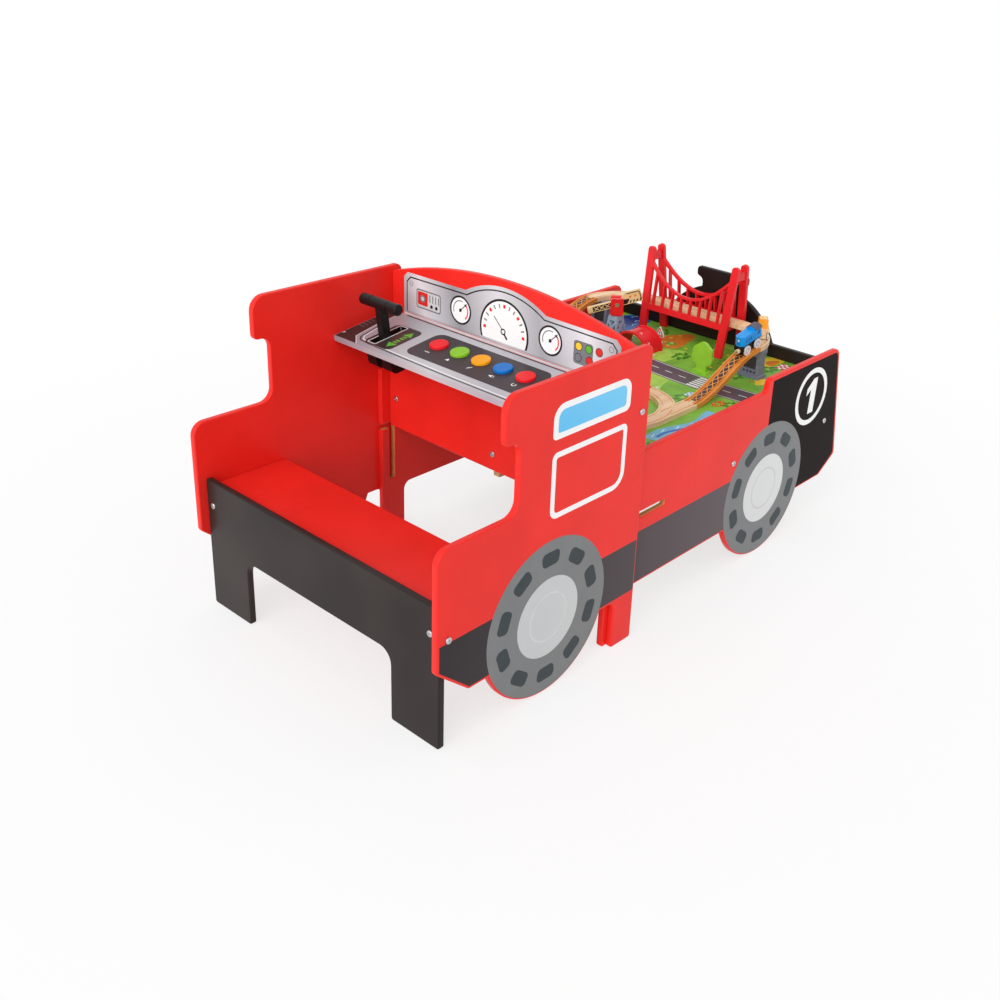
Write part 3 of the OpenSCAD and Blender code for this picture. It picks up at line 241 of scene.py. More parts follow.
INK_WHITE = ink("white", (244, 244, 244), 20, 0.02)
INK_BLACK = ink("black", (26, 24, 26))
INK_DARK = ink("umber", (58, 46, 46), 24, 0.08)
INK_PLUM = ink("button_panel", (58, 50, 54), 24)
INK_GREEN = ink("green", (96, 178, 52))
INK_RED = ink("red", (226, 40, 34))
INK_YELLOW = ink("yellow", (240, 204, 50))
INK_GREY = ink("grey", (120, 122, 126))
INK_PALE = ink("pale_grey", (206, 206, 208))
INK_ROAD = ink("asphalt", (88, 80, 88), 60, 0.12)
INK_POND = ink("pond_blue", (34, 104, 190), 18, 0.2)
INK_DEEP = ink("deep_blue", (28, 52, 132), 18, 0.15)
INK_STREAM = ink("stream_blue", (112, 190, 224), 24, 0.12)
INK_FOAM = ink("foam", (222, 238, 246))
INK_LEAF = ink("leaf_green", (58, 122, 38), 50, 0.2)
INK_SHRUB = ink("shrub_green", (92, 160, 46), 50, 0.15)
INK_LIME = ink("lime_green", (164, 212, 84), 50, 0.1)
INK_CREAM = ink("cream", (252, 214, 140))
INK_CLAY = ink("clay", (222, 128, 46), 40, 0.12)
INK_SLATE = ink("slate", (64, 60, 66), 80, 0.2)
INK_NAVY = ink("navy", (8, 92, 170))

FINISH = {
    RED: ["cab_side_right", "cab_side_left", "seat_board", "bulkhead", "front_wall", "table_side_right",
          "table_side_left"],
    BLACK: ["rear_leg_panel", "end_panel"],
    BARE: ["seat_battens", "tray_battens", "centre_rail", "mid_beam", "nose_beam"],
    SILVER: ["dash_shelf"],
    GRASS: ["tray_board"],
    PLASTIC: ["button_box", "lever_bracket", "lever_stem", "lever_grip", "loco_chassis"],
    STEEL: ["lever_pin", "bolts", "crane_pin"],
    RAMP: ["near_ramp", "far_ramp"],
    BEECH: ["near_high_curve", "far_high_curve", "switch_track", "branch_curve", "back_curve_near",
            "back_curve_far", "far_straight", "wagon_body"],
    BEECH_ACROSS: ["bridge_deck", "back_straight"],
    RED_TOY: ["bridge_frame_rear", "bridge_frame_front", "bridge_ties", "tunnel", "buffer_stop", "crane_cab"],
    STONE: ["bridge_piers"],
    GREY_TOY: ["crane_tower"],
    BLUE_TOY: ["loco_body"],
    ROOF: ["loco_roof"],
    WHEEL: ["loco_front_axle", "loco_rear_axle", "wagon_front_axle", "wagon_rear_axle"],
    ORANGE: ["wagon_load"],
    TREE: ["tree"],
    BOOM: ["crane_boom"],
    WHITE_TOY: ["road_sign"],
}
for name, colour in BUTTON.items():
    FINISH[coated(name + "_cap", colour, 0.36, 0.03, 40, coat=0.08, gloss=0.2)] = [name]
for material, names in FINISH.items():
    for name in names:
        NODES[name].data.materials.clear()
        NODES[name].data.materials.append(material)

# Angle of a sharp edge, the shortest edge that is rounded, the widest seam that is closed, and the
# angle up to which faces count as one plane
SHARP = math.radians(38)
SHORT = 0.0006
SEAM = 0.00002
FLAT = math.radians(0.4)


def shaded(mesh):
    mesh.polygons.foreach_set("use_smooth", [True] * len(mesh.polygons))
    mesh.set_sharp_from_angle(angle=SHARP)


def soften(node, width, segments=2):
    """Rounds the sharp edges of a small solid, as its mould or sanding does."""
    o = NODES[node]
    o.modifiers.new("weld", "WELD").merge_threshold = SEAM
    b = o.modifiers.new("round", "BEVEL")
    b.width = width * MM
    b.segments = segments
    b.limit_method = "ANGLE"
    b.angle_limit = SHARP
    w = o.modifiers.new("shade", "WEIGHTED_NORMAL")
    w.keep_sharp = True


def sanded(node, r, finish, cuts=(), segments=3):
    """A board with rounded edges in place of a solid; cuts are the x-z boxes whose walls show bare board."""
    form = bmesh.new()
    form.from_mesh(NODES[node].data)
    bmesh.ops.remove_doubles(form, verts=form.verts, dist=SEAM)
    bmesh.ops.dissolve_limit(form, angle_limit=FLAT, verts=form.verts, edges=form.edges)
    edges = [e for e in form.edges
             if len(e.link_faces) == 2 and e.calc_face_angle() > SHARP and e.calc_length() > SHORT]
    bmesh.ops.bevel(form, geom=edges, offset=r * MM, segments=segments, profile=0.5, affect="EDGES",
                    clamp_overlap=False)
    form.normal_update()
    for f in form.faces:
        c = in_mm(f.calc_center_median())
        if abs(f.normal.y) < 0.5 and any(a <= c.x <= b and d <= c.z <= e for a, d, b, e in cuts):
            f.material_index = 1
    mesh = bpy.data.meshes.new(node + "_sanded")
    form.to_mesh(mesh)
    form.free()
    mesh.materials.append(finish)
    mesh.materials.append(CORE)
    shaded(mesh)
    o = bpy.data.objects.new(node + "_sanded", mesh)
    bpy.context.scene.collection.objects.link(o)
    w = o.modifiers.new("shade", "WEIGHTED_NORMAL")
    w.keep_sharp = True
    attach(o, TABLE)
    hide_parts(node)


EDGE_R, WOOD_EDGE_R, TOY_EDGE_R = 3.2, 0.7, 0.9
SIDE_SLOT, KEY_SLOT = (505, 274, 690, 296), (516, 136, 538, 282)
for name in FINISH[RED]:
    sanded(name, EDGE_R, RED, (SIDE_SLOT, KEY_SLOT) if name.startswith("table_side") else ())
for name in FINISH[BLACK]:
    sanded(name, EDGE_R, BLACK)
for name in FINISH[RAMP] + FINISH[BEECH] + FINISH[BEECH_ACROSS]:
    soften(name, WOOD_EDGE_R)
for name in ["bridge_ties", "crane_cab", "crane_boom", "tree", "wagon_load", "loco_body"]:
    soften(name, WOOD_EDGE_R)
for name in ["bridge_frame_rear", "bridge_frame_front", "lever_stem", "crane_tower", "road_sign",
             "loco_roof", "bridge_piers"]:
    soften(name, TOY_EDGE_R)

# Prints: the height of a level, how many shapes climb through a share of it, and the depth below the face
INK_STEP, INK_TURNS, INK_SHARE = 0.12, 32, 0.9
INK_SINK = 0.1


def disc(x, y, r, n=48, start=0.0, end=360.0):
    """Points on a circle, or on its part from start to end in degrees."""
    gaps = n if abs(end - start) >= 360 else n - 1
    turns = [math.radians(start + (end - start) * i / gaps) for i in range(n)]
    return [(x + r * math.cos(t), y + r * math.sin(t)) for t in turns]


def bend(p, q, s, r, n=6):
    """The rounded corner at q between p and s."""
    p, q, s = Vector(p), Vector(q), Vector(s)
    u, v = (p - q).normalized(), (s - q).normalized()
    half = u.angle(v) / 2
    if r <= 0 or half > math.radians(89.5):
        return [tuple(q)]
    d = r / math.tan(half)
    m = q + (u + v).normalized() * (r / math.sin(half))
    a, b = q + u * d - m, q + v * d - m
    sweep = math.pi - 2 * half
    return [tuple(m + (a * math.sin((1 - t) * sweep) + b * math.sin(t * sweep)) / math.sin(sweep))
            for t in [i / n for i in range(n + 1)]]


def shape(points, radii):
    """An outline with rounded corners; radii is one number or one for each point."""
    n = len(points)
    r = radii if isinstance(radii, (list, tuple)) else [radii] * n
    return [c for i in range(n) for c in bend(points[i - 1], points[i], points[(i + 1) % n], r[i])]


def block(x0, y0, x1, y1, r=0.0):
    return shape([(x0, y0), (x1, y0), (x1, y1), (x0, y1)], r)


def line(points, w, closed=False):
    """A pen line of width w along points: an outline, or an outline and its hole when closed."""
    p = [Vector(q) for q in points]
    n = len(p)
    left, right = [], []
    for i in range(n):
        a = p[i - 1] if i or closed else p[i]
        b = p[(i + 1) % n] if i < n - 1 or closed else p[i]
        u = (p[i] - a).normalized() if (p[i] - a).length > 1e-6 else (b - p[i]).normalized()
        v = (b - p[i]).normalized() if (b - p[i]).length > 1e-6 else u
        t = (u + v).normalized() if (u + v).length > 1e-6 else u
        side = Vector((-t.y, t.x)) * (w / 2 / max(0.35, t.dot(u)))
        left.append(tuple(p[i] + side))
        right.append(tuple(p[i] - side))
    return (left, right) if closed else left + right[::-1]


def area(loop):
    return sum(a[0] * b[1] - b[0] * a[1] for a, b in zip(loop, loop[1:] + loop[:1])) / 2


class Print:
    """Shapes of ink on one face, each a thin closed layer, made into one piece.

    warp lays them on a bent face; sink is how far each reaches below the face.
    """

    def __init__(self, name, origin, u, v, n, body=TABLE, slot="red_paint", warp=None, sink=INK_SINK):
        self.name, self.origin, self.u, self.v, self.n = name, origin, u, v, n
        self.body, self.slot_name, self.warp, self.sink = body, slot, warp, sink
        self.verts, self.faces, self.inks, self.face_inks = [], [], [], []
        self.shapes = 0

    def point(self, a, b, h):
        if self.warp:
            return self.warp(a, b, h)
        return self.origin + (self.u * a + self.v * b + self.n * h) * MM

    def face(self, ink, ids):
        self.faces.append(ids)
        self.face_inks.append(self.inks.index(ink))

    def add(self, ink, outline, holes=(), level=1):
        """Adds a shape at a level above the face.

        Each lies a little higher than the one before, so that no two that cross share a face.
        """
        height = INK_STEP * (level + INK_SHARE * (self.shapes % INK_TURNS) / INK_TURNS)
        self.shapes += 1
        if ink not in self.inks:
            self.inks.append(ink)
        loops = [list(outline)] + [list(h) for h in holes]
        flat = [Vector((a, b, 0)) for loop in loops for a, b in loop]
        first, count = len(self.verts), len(flat)
        self.verts += [self.point(p.x, p.y, height) for p in flat]
        self.verts += [self.point(p.x, p.y, -self.sink) for p in flat]
        right = self.u.cross(self.v).dot(self.n) > 0
        for i, j, k in tessellate_polygon([[Vector((a, b, 0)) for a, b in loop] for loop in loops]):
            turn = (flat[j] - flat[i]).cross(flat[k] - flat[i]).z
            if abs(turn) < 1e-9:
                continue
            if (turn > 0) != right:
                j, k = k, j
            self.face(ink, (first + i, first + j, first + k))
            self.face(ink, (first + count + i, first + count + k, first + count + j))
        start = 0
        for number, loop in enumerate(loops):
            out = ((area(loop) > 0) == (number == 0)) == right
            for i in range(len(loop)):
                a, b = first + start + i, first + start + (i + 1) % len(loop)
                wall = (a + count, b + count, b, a)
                self.face(ink, wall if out else wall[::-1])
            start += len(loop)

    def stroke(self, ink, points, w, level=1, closed=False):
        drawn = line(points, w, closed)
        if closed:
            outer, inner = sorted(drawn, key=lambda q: -abs(area(q)))
            self.add(ink, outer, [inner], level)
        else:
            self.add(ink, drawn, (), level)

    def ring(self, ink, x, y, outer, inner, level=1, n=64):
        self.add(ink, disc(x, y, outer, n), [disc(x, y, inner, n)], level)

    def make(self):
        mesh = bpy.data.meshes.new(self.name)
        mesh.from_pydata(self.verts, [], self.faces)
        for ink in self.inks:
            mesh.materials.append(ink)
        mesh.polygons.foreach_set("material_index", self.face_inks)
        mesh.update()
        o = bpy.data.objects.new(self.name, mesh)
        bpy.context.scene.collection.objects.link(o)
        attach(o, self.body)


# Wheels, stripes, window and door on the outsides of the cab and the table
TYRE_R, HUB_R, TREADS = 171, 88, 10
TREAD_LEN, TREAD_W, TREAD_AT, TREAD_CORNER = 54, 31, 131, 11
CAB_WHEEL = (297, 175)
TABLE_WHEEL = (1102, 175)
STRIPE_R = TYRE_R - 3


def wheel_print(sheet, x, z):
    sheet.add(TYRE, disc(x, z, TYRE_R, 96), [disc(x, z, HUB_R, 72)], 3)
    sheet.add(HUB, disc(x, z, HUB_R, 72), (), 3)
    sheet.ring(INK_PALE, x, z, HUB_R * 0.62, HUB_R * 0.57, 4)
    for i in range(TREADS):
        t = math.radians(360 / TREADS * (i + 0.5))
        r, s = Vector((math.cos(t), math.sin(t))), Vector((-math.sin(t), math.cos(t)))
        c = Vector((x, z)) + r * TREAD_AT
        wide, narrow = TREAD_LEN / 2, TREAD_LEN / 2 * 0.84
        pts = [c - s * narrow - r * TREAD_W / 2, c + s * narrow - r * TREAD_W / 2,
               c + s * wide + r * TREAD_W / 2, c - s * wide + r * TREAD_W / 2]
        sheet.add(TREAD, shape([tuple(p) for p in pts], TREAD_CORNER), (), 4)


def rim(centre, start, end, n=24):
    return disc(centre[0], centre[1], STRIPE_R, n, start, end)


def rim_angle(centre, z):
    return math.degrees(math.asin((z - centre[1]) / STRIPE_R))


def cab_print(name, y, n):
    sheet = Print(name, at(0, y, 0), X, Z, n)
    top, foot = 242, 121
    up, down = rim_angle(CAB_WHEEL, top), rim_angle(CAB_WHEEL, foot)
    sheet.add(STRIPE, [(6, top), (6, 187), (83, foot)] + rim(CAB_WHEEL, 180 - down, 180 - up))
    sheet.add(STRIPE, rim(CAB_WHEEL, up, down) + [(571, foot), (571, top)])
    wheel_print(sheet, *CAB_WHEEL)
    outer = shape([(286, 555), (512, 555), (512, 625), (286, 625)], [10, 14, 25, 30])
    inner = shape([(299.5, 567), (498.5, 567), (498.5, 612), (299.5, 612)], [5, 7, 14, 18])
    sheet.add(INK_WHITE, outer, [inner])
    sheet.add(SKY, inner)
    door = shape([(287, 390), (508, 390), (508, 529), (287, 529)], [20, 36, 14, 14])
    hole = shape([(298.5, 401.5), (496.5, 401.5), (496.5, 517.5), (298.5, 517.5)], [9, 25, 5, 5])
    sheet.add(INK_WHITE, door, [hole])
    sheet.make()


def table_print(name, y, n, flip):
    sheet = Print(name, at(0, y, 0), X, Z, n)
    top, foot = 245, 121
    up, down = rim_angle(TABLE_WHEEL, top), rim_angle(TABLE_WHEEL, foot)
    sheet.add(STRIPE, [(581, top), (581, foot)] + rim(TABLE_WHEEL, 180 - down, 180 - up))
    edge = rim(TABLE_WHEEL, 95.1, down, 36)
    sheet.add(NOSE, shape([(1087, 459)] + edge + [(1378, foot), (1445.5, 162), (1391.5, 459)],
                          [4] + [0] * len(edge) + [6, 12, 18]))
    wheel_print(sheet, *TABLE_WHEEL)
    ring = (1282, 367)
    sheet.ring(INK_WHITE, ring[0], ring[1], 75, 62, 2, 80)
    one = [(-7, -45), (18, -45), (18, 47), (1, 47), (-26, 25), (-26, 7), (-7, 20)]
    lean = 0.06
    sheet.add(INK_WHITE, [(ring[0] + (flip * (a + lean * b)), ring[1] + b) for a, b in one], (), 2)
    sheet.make()


cab_print("cab_print_right", low("cab_side_right").y, -Y)
cab_print("cab_print_left", high("cab_side_left").y, Y)
table_print("table_print_right", low("table_side_right").y, -Y, 1)
table_print("table_print_left", high("table_side_left").y, Y, -1)

# Dash: lever plate, button panel and lines; x runs up the slope from the shelf's front edge
DASH_N = -Vector(JOINTS["green_button_press"]["axis"])
DASH_U = Y.cross(DASH_N)
FRONT_X, REAR_X, REAR_Z = low("dash_shelf").x, high("dash_shelf").x, high("dash_shelf").z
FRONT_Z = REAR_Z - (REAR_X - FRONT_X) * DASH_U.z / DASH_U.x
DASH_D, DASH_HALF = (REAR_X - FRONT_X) / DASH_U.x, high("dash_shelf").y
dash = Print("dash_print", at(FRONT_X, 0, FRONT_Z), DASH_U, Y, DASH_N, slot="dash_print")


def on_dash(p):
    """A place above or below the shelf as a place on it."""
    q = in_mm(p) - Vector((FRONT_X, 0, FRONT_Z))
    return Vector((q.dot(DASH_U), q.y))


corner = [(2.5, 287), (8, 292), (29, 317), (96, 325), (DASH_D - 1.5, 325)]
dash.add(INK_DARK, [(2.5, DASH_HALF - 1)] + corner + [(DASH_D - 1.5, DASH_HALF - 1)])
dash.stroke(INK_PALE, corner, 2.6, 2)
border = [(98, 316), (57, 309), (33, 305), (21, 293.5), (17.5, 262), (14, 130), (11, 0), (10, -DASH_HALF + 2)]
dash.stroke(INK_DARK, border, 3.2, 2)
dash.stroke(INK_WHITE, [(a + 6, b - 4) for a, b in border], 2.0, 2)
dash.stroke(INK_BLACK, [(DASH_D - 3, 305), (DASH_D - 3, -DASH_HALF + 2)], 3.4, 2)
LEVER = on_dash(pivot("lever_swing"))
SLOT_BACK, SLOT_FRONT, SLOT_HALF_W, SLOT_RIM = 38.5, 57.5, 11, 3.2


def slot_outline(grow, r):
    return block(LEVER.x - SLOT_BACK - grow, LEVER.y - SLOT_HALF_W - grow,
                 LEVER.x + SLOT_FRONT + grow, LEVER.y + SLOT_HALF_W + grow, r)


LEVER_PLATE, BUTTON_PANEL = (20, 200, 128, 284, 15), (37, -174, 150, 170, 22)
slot_in = slot_outline(0, 3)
dash.add(INK_DARK, block(*LEVER_PLATE), [slot_in], 3)
dash.add(INK_PALE, slot_outline(SLOT_RIM, 5), [slot_in], 4)
ARROW_X, ARROW_Y, ARROW_TIP, ARROW_BASE, ARROW_HALF_W = 72, 218.5, 41, 21, 13
TAIL_HALF_L, TAIL_HALF_W = 2.6, 6
for s in (-1, 1):
    base = ARROW_X + s * ARROW_BASE
    dash.add(INK_GREEN, [(ARROW_X + s * ARROW_TIP, ARROW_Y), (base, ARROW_Y - ARROW_HALF_W),
                         (base, ARROW_Y + ARROW_HALF_W)], (), 4)
    for k in (5.5, 14.5):
        x = ARROW_X + s * k
        dash.add(INK_GREEN, block(x - TAIL_HALF_L, ARROW_Y - TAIL_HALF_W, x + TAIL_HALF_L,
                                  ARROW_Y + TAIL_HALF_W), (), 4)
dash.add(INK_PLUM, block(*BUTTON_PANEL), (), 3)
SIGNS_X = 66.5
for i, node in enumerate(BUTTON):
    x, y = SIGNS_X, middle(node).y
    if i == 0:
        for k in (-1, 0, 1):
            dash.add(INK_WHITE, disc(x, y + 5 * k, 1.8, 16), (), 4)
    elif i == 1:
        dash.add(INK_WHITE, [(x - 4, y - 5), (x + 5, y), (x - 4, y + 5)], (), 4)
    elif i == 2:
        dash.stroke(INK_WHITE, [(x - 6, y + 3), (x + 1, y + 1), (x - 1, y - 1), (x + 6, y - 4)], 1.8, 4)
    elif i == 3:
        dash.add(INK_WHITE, [(x - 2, y + 6), (x - 2, y + 2), (x - 5, y - 2), (x + 5, y - 2), (x + 2, y + 2),
                             (x + 2, y + 6)], (), 4)
        dash.stroke(INK_WHITE, disc(x, y - 3, 4, 8, 215, 325), 1.2, 4)
    else:
        dash.stroke(INK_WHITE, disc(x, y, 5, 18, 40, 320), 1.8, 4)
for k in range(4):
    dash.stroke(INK_GREY, [(72 + 11.5 * k, 357), (71 + 11.5 * k, 338 + 1.6 * k)], 1.6, 2)
dash.add(INK_PALE, [(20, 357), (30, 357), (27, 351)], (), 2)
dash.make()
LINER_T, LINER_D = 0.9, 12.6
liner = Print("slot_liner", at(FRONT_X, 0, FRONT_Z), DASH_U, Y, DASH_N, slot="black_plastic", sink=LINER_D)
liner.add(PLASTIC, slot_in, [slot_outline(-LINER_T, 2.5)])
liner.make()

# Instrument panel on the bulkhead
BULK_X = low("bulkhead").x
board = Print("instrument_print", at(BULK_X, 0, 0), -Y, Z, -X, slot="red_paint")
FOOT = REAR_Z + 0.8
PANEL_END = 318.5


def crest(inset):
    """The panel's outline: two straight shoulders and an arch between them."""
    end, shoulder, valley, arch = PANEL_END - inset, 672 - inset, 674 - inset, 706 - inset
    half = 118 - inset * 0.4
    cut = 12
    rise = arch - valley
    r = (half * half + rise * rise) / (2 * rise)
    sweep = math.degrees(math.asin(half / r))
    top = disc(0, arch - r, r, 25, 90 + sweep, 90 - sweep)
    return ([(-end, FOOT + inset), (-end, shoulder - cut), (-end + cut, shoulder)] + top
            + [(end - cut, shoulder), (end, shoulder - cut), (end, FOOT + inset)])


board.add(PANEL, crest(0))
board.stroke(INK_BLACK, crest(10), 3.0, 2)
board.add(INK_PALE, block(-PANEL_END, FOOT, PANEL_END, FOOT + 5), (), 2)
board.stroke(INK_RED, [(-PANEL_END + 8, FOOT + 6), (PANEL_END - 8, FOOT + 6)], 1.0, 3)
board.stroke(INK_GREY, [(-PANEL_END + 8, FOOT + 9), (PANEL_END - 8, FOOT + 9)], 1.0, 3)
SCREW_Y, SCREW_Z, SCREW_R, SCREW_IN = 294, 648, 6, 4.4
for y in (-SCREW_Y, SCREW_Y):
    board.ring(INK_GREY, y, SCREW_Z, SCREW_R, SCREW_IN, 2, 24)
    board.add(INK_PALE, disc(y, SCREW_Z, SCREW_IN, 20), (), 2)
    board.stroke(INK_GREY, [(y - 3, SCREW_Z - 2), (y + 3, SCREW_Z + 2)], 1.2, 3)


def clipped(points, floor):
    """The part of a convex outline above a level."""
    out = []
    for a, b in zip(points, points[1:] + points[:1]):
        if a[1] >= floor:
            out.append(a)
        if (a[1] >= floor) != (b[1] >= floor):
            t = (floor - a[1]) / (b[1] - a[1])
            out.append((a[0] + (b[0] - a[0]) * t, floor))
    return out


def gauge_small(y, z):
    board.add(INK_BLACK, disc(y, z, 33, 48), (), 3)
    board.add(INK_WHITE, disc(y, z, 28.6, 48), (), 4)
    board.stroke(INK_GREY, disc(y, z, 21.4, 24, 72, 200), 2.4, 5)
    board.stroke(INK_RED, disc(y, z, 22.8, 14, -48, 38), 3.2, 5)
    board.stroke(INK_BLACK, [(y - 4, z - 4), (y + 15, z + 14)], 2.0, 5)
    board.add(INK_BLACK, [(y + 20, z + 18.5), (y + 16.5, z + 10.5), (y + 11.5, z + 15.5)], (), 6)
    board.add(INK_BLACK, disc(y, z, 4, 16), (), 6)


GAUGES_Y, GAUGES_Z = 133, 624
for y in (-GAUGES_Y, GAUGES_Y):
    gauge_small(y, GAUGES_Z)
BIG_Z, BIG_FOOT, BIG_R, BIG_RIM, TICKS, TICK_AT = 608, 583.5, 72, 5, 13, 57
board.add(INK_BLACK, clipped(disc(0, BIG_Z, BIG_R, 96), BIG_FOOT), (), 4)
board.add(INK_WHITE, clipped(disc(0, BIG_Z, BIG_R - BIG_RIM, 96), BIG_FOOT), (), 5)
for i in range(TICKS):
    t = math.radians(180 - 180 / (TICKS - 1) * i)
    r, s = Vector((math.cos(t), math.sin(t))), Vector((-math.sin(t), math.cos(t)))
    c = Vector((0, BIG_Z)) + r * TICK_AT
    strong = i % 3 == 0
    a, b = (4.0, 3.4) if strong else (4.8, 1.7)
    pts = [c - r * a - s * b, c + r * a - s * b, c + r * a + s * b, c - r * a + s * b]
    board.add(INK_RED if strong else INK_GREY, [tuple(p) for p in pts], (), 6)
board.stroke(INK_BLACK, [(-30, 637), (-6, 614)], 2.2, 6)
board.ring(INK_BLACK, -1.8, BIG_Z, 7.4, 4.2, 6, 28)
board.add(INK_BLACK, [(0.6, 601), (4, 604), (12, 594.5), (8, 591.5)], (), 6)

board.add(INK_GREY, block(-276.5, 596.5, -196.5, 641.5, 6), (), 2)
board.add(INK_PALE, block(-273.5, 599.5, -199.5, 638.5, 5), (), 3)
board.add(INK_RED, block(-271.5, 605, -239, 636, 3), (), 4)
board.ring(INK_GREY, -255.5, 620.5, 9, 5, 5, 28)
board.add(INK_PALE, disc(-255.5, 620.5, 5.2, 20), (), 5)
for k in range(4):
    board.stroke(INK_GREY, [(-232 + 9.5 * k, 617), (-232 + 9.5 * k, 634)], 3.0, 4)
for k in (0, 1):
    board.add(INK_BLACK, disc(-226.5 + 16 * k, 608, 4.2, 20), (), 4)
board.add(INK_GREY, block(197, 595, 248, 645, 7), (), 2)
for lamp, y, z in [(INK_YELLOW, 210, 633), (INK_GREEN, 237, 633), (INK_GREY, 210, 609), (INK_RED, 240, 609),
                   (INK_RED, 264, 634)]:
    board.ring(INK_BLACK, y, z, 9.4, 7.8, 3, 28)
    board.add(lamp, disc(y, z, 8, 28), (), 4)
board.make()

# Tray print: grass, a winding road, a pond, a stream, a path, shrubs, flowers, stones and mats
TRAY_TOP = high("tray_board").z
tray = Print("tray_print", at(0, 0, TRAY_TOP), X, Y, Z, slot="tray_print")
TRAY_X0, TRAY_X1, TRAY_Y = high("bulkhead").x + 1, low("end_panel").x - 1, high("tray_board").y - 1


def held(points):
    """An outline kept inside the walls."""
    return [(min(max(a, TRAY_X0), TRAY_X1), min(max(b, -TRAY_Y), TRAY_Y)) for a, b in points]


def blob(x, y, a, b, lobes=5, turn=0.0, wave=0.14, n=40):
    """A rounded patch with a lobed edge."""
    out = []
    for i in range(n):
        t = math.tau * i / n
        r = 1 + wave * math.cos(lobes * t + turn)
        out.append((x + a * r * math.cos(t), y + b * r * math.sin(t)))
    return held(out)


def leaf(x, y, size, turn, n=14, slim=0.42):
    """A pointed leaf of half length size, turned about its middle."""
    c, s = math.cos(turn), math.sin(turn)
    turns = [math.tau * i / n for i in range(n)]
    edge = [(size * math.cos(t), slim * size * math.sin(t) * abs(math.sin(t))) for t in turns]
    return held([(x + c * a - s * b, y + s * a + c * b) for a, b in edge])


def shrub(x, y, s, turn=0.0):
    """A bush of leaves in three greens, the dark ones outside."""
    for green, count, far, size, level in ((INK_LEAF, 13, 17, 8.5, 2), (INK_SHRUB, 9, 9, 7.5, 3),
                                           (INK_LIME, 4, 4, 5, 4)):
        for k in range(count):
            t = turn + math.tau * k / count
            r = far * s * (0.8 + 0.35 * math.sin(2.7 * k + 5 * turn))
            tip = leaf(x + r * math.cos(t), y + 0.75 * r * math.sin(t), size * s, t + 0.9 * math.sin(k))
            tray.add(green, tip, (), level)


def flower(x, y, petals, r=3.2):
    for k in range(5):
        t = math.tau * k / 5
        tray.add(petals, disc(x + r * math.cos(t), y + r * math.sin(t), r * 0.62, 10), (), 3)
    tray.add(INK_YELLOW, disc(x, y, r * 0.6, 10), (), 4)


ROAD_MID, ROAD_SWAY, ROAD_BEND = 1092, 10, 105
ROAD_W, ROAD_STEPS, SHOULDER, LINE_W = 80, 60, 5, 2.2
DASH_LEN, DASH_STEP, DASH_W = 22, 44, 2.6
CROSSING_Y, CROSSING_CLEAR, BARS, BAR_STEP, BAR_HALF_W, BAR_HALF_LEN = -158, 32, 6, 11.6, 3, 18


def road_x(y):
    return ROAD_MID + ROAD_SWAY * math.sin(y / ROAD_BEND)


ways = [-TRAY_Y + 2 * TRAY_Y * i / ROAD_STEPS for i in range(ROAD_STEPS + 1)]
tray.add(INK_ROAD, held(line([(road_x(y), y) for y in ways], ROAD_W)), (), 2)
for s in (-1, 1):
    side_line = [(road_x(y) + s * (ROAD_W / 2 - SHOULDER), y) for y in ways]
    tray.add(INK_WHITE, held(line(side_line, LINE_W)), (), 3)
start = -TRAY_Y + 8
while start < TRAY_Y - DASH_LEN:
    if abs(start + DASH_LEN / 2 - CROSSING_Y) > CROSSING_CLEAR:
        stretch = [start + DASH_LEN * i / 4 for i in range(5)]
        tray.add(INK_WHITE, line([(road_x(y), y) for y in stretch], DASH_W), (), 3)
    start += DASH_STEP
for k in range(BARS):
    x = road_x(CROSSING_Y) + BAR_STEP * (k - (BARS - 1) / 2)
    tray.add(INK_WHITE, block(x - BAR_HALF_W, CROSSING_Y - BAR_HALF_LEN, x + BAR_HALF_W,
                              CROSSING_Y + BAR_HALF_LEN), (), 3)

# Patches and beds: level, ink, then middle, half sizes, lobes, turn and wave
for level, patch, *sizes in [
        (1, INK_LIME, 980, -60, 80, 60, 3, 0.4, 0.2),
        (1, INK_SHRUB, 1230, -120, 70, 44, 4, 1.0, 0.2),
        (1, INK_LIME, 1180, 20, 60, 40, 3, 2.0, 0.2),
        (1, INK_LIME, 820, 40, 90, 70, 4, 0.9, 0.2),
        (1, INK_SHRUB, 700, -60, 60, 100, 3, 0.2, 0.2),
        (1, INK_LIME, 1390, -60, 38, 60, 4, 0.2, 0.2),
        (2, INK_CLAY, 1290, 70, 68, 42, 3, 0.6, 0.16),
        (2, INK_YELLOW, 1350, -200, 42, 24, 3, 2.0, 0.12),
        (3, INK_CLAY, 1342, -206, 24, 14, 3, 1.1, 0.14),
        (2, INK_YELLOW, 1206, -262, 26, 18, 4, 0.3, 0.14),
        (1, INK_SHRUB, 1300, -170, 46, 34, 4, 0.5, 0.18)]:
    tray.add(patch, blob(*sizes), (), level)
for i, (x, y) in enumerate([(1262, 82), (1280, 54), (1301, 90), (1318, 60), (1334, 82), (1272, 104),
                            (1246, 60)]):
    flower(x, y, INK_RED if i % 2 else INK_YELLOW, 4.0)

POND_X, POND_Y = 1276, 254
tray.add(INK_POND, blob(POND_X, POND_Y, 124, 66, 3, 0.3, 0.12, 56), (), 2)
tray.add(INK_DEEP, blob(1326, 266, 50, 34, 4, 1.3, 0.14), (), 3)
for k, (x, y) in enumerate([(1282, 240), (1310, 226), (1344, 240), (1368, 268), (1296, 284), (1330, 300)]):
    tray.stroke(INK_FOAM, [(x + d, y + 3 * math.sin(d / 4.0 + k)) for d in range(-12, 13, 3)], 2.0, 4)

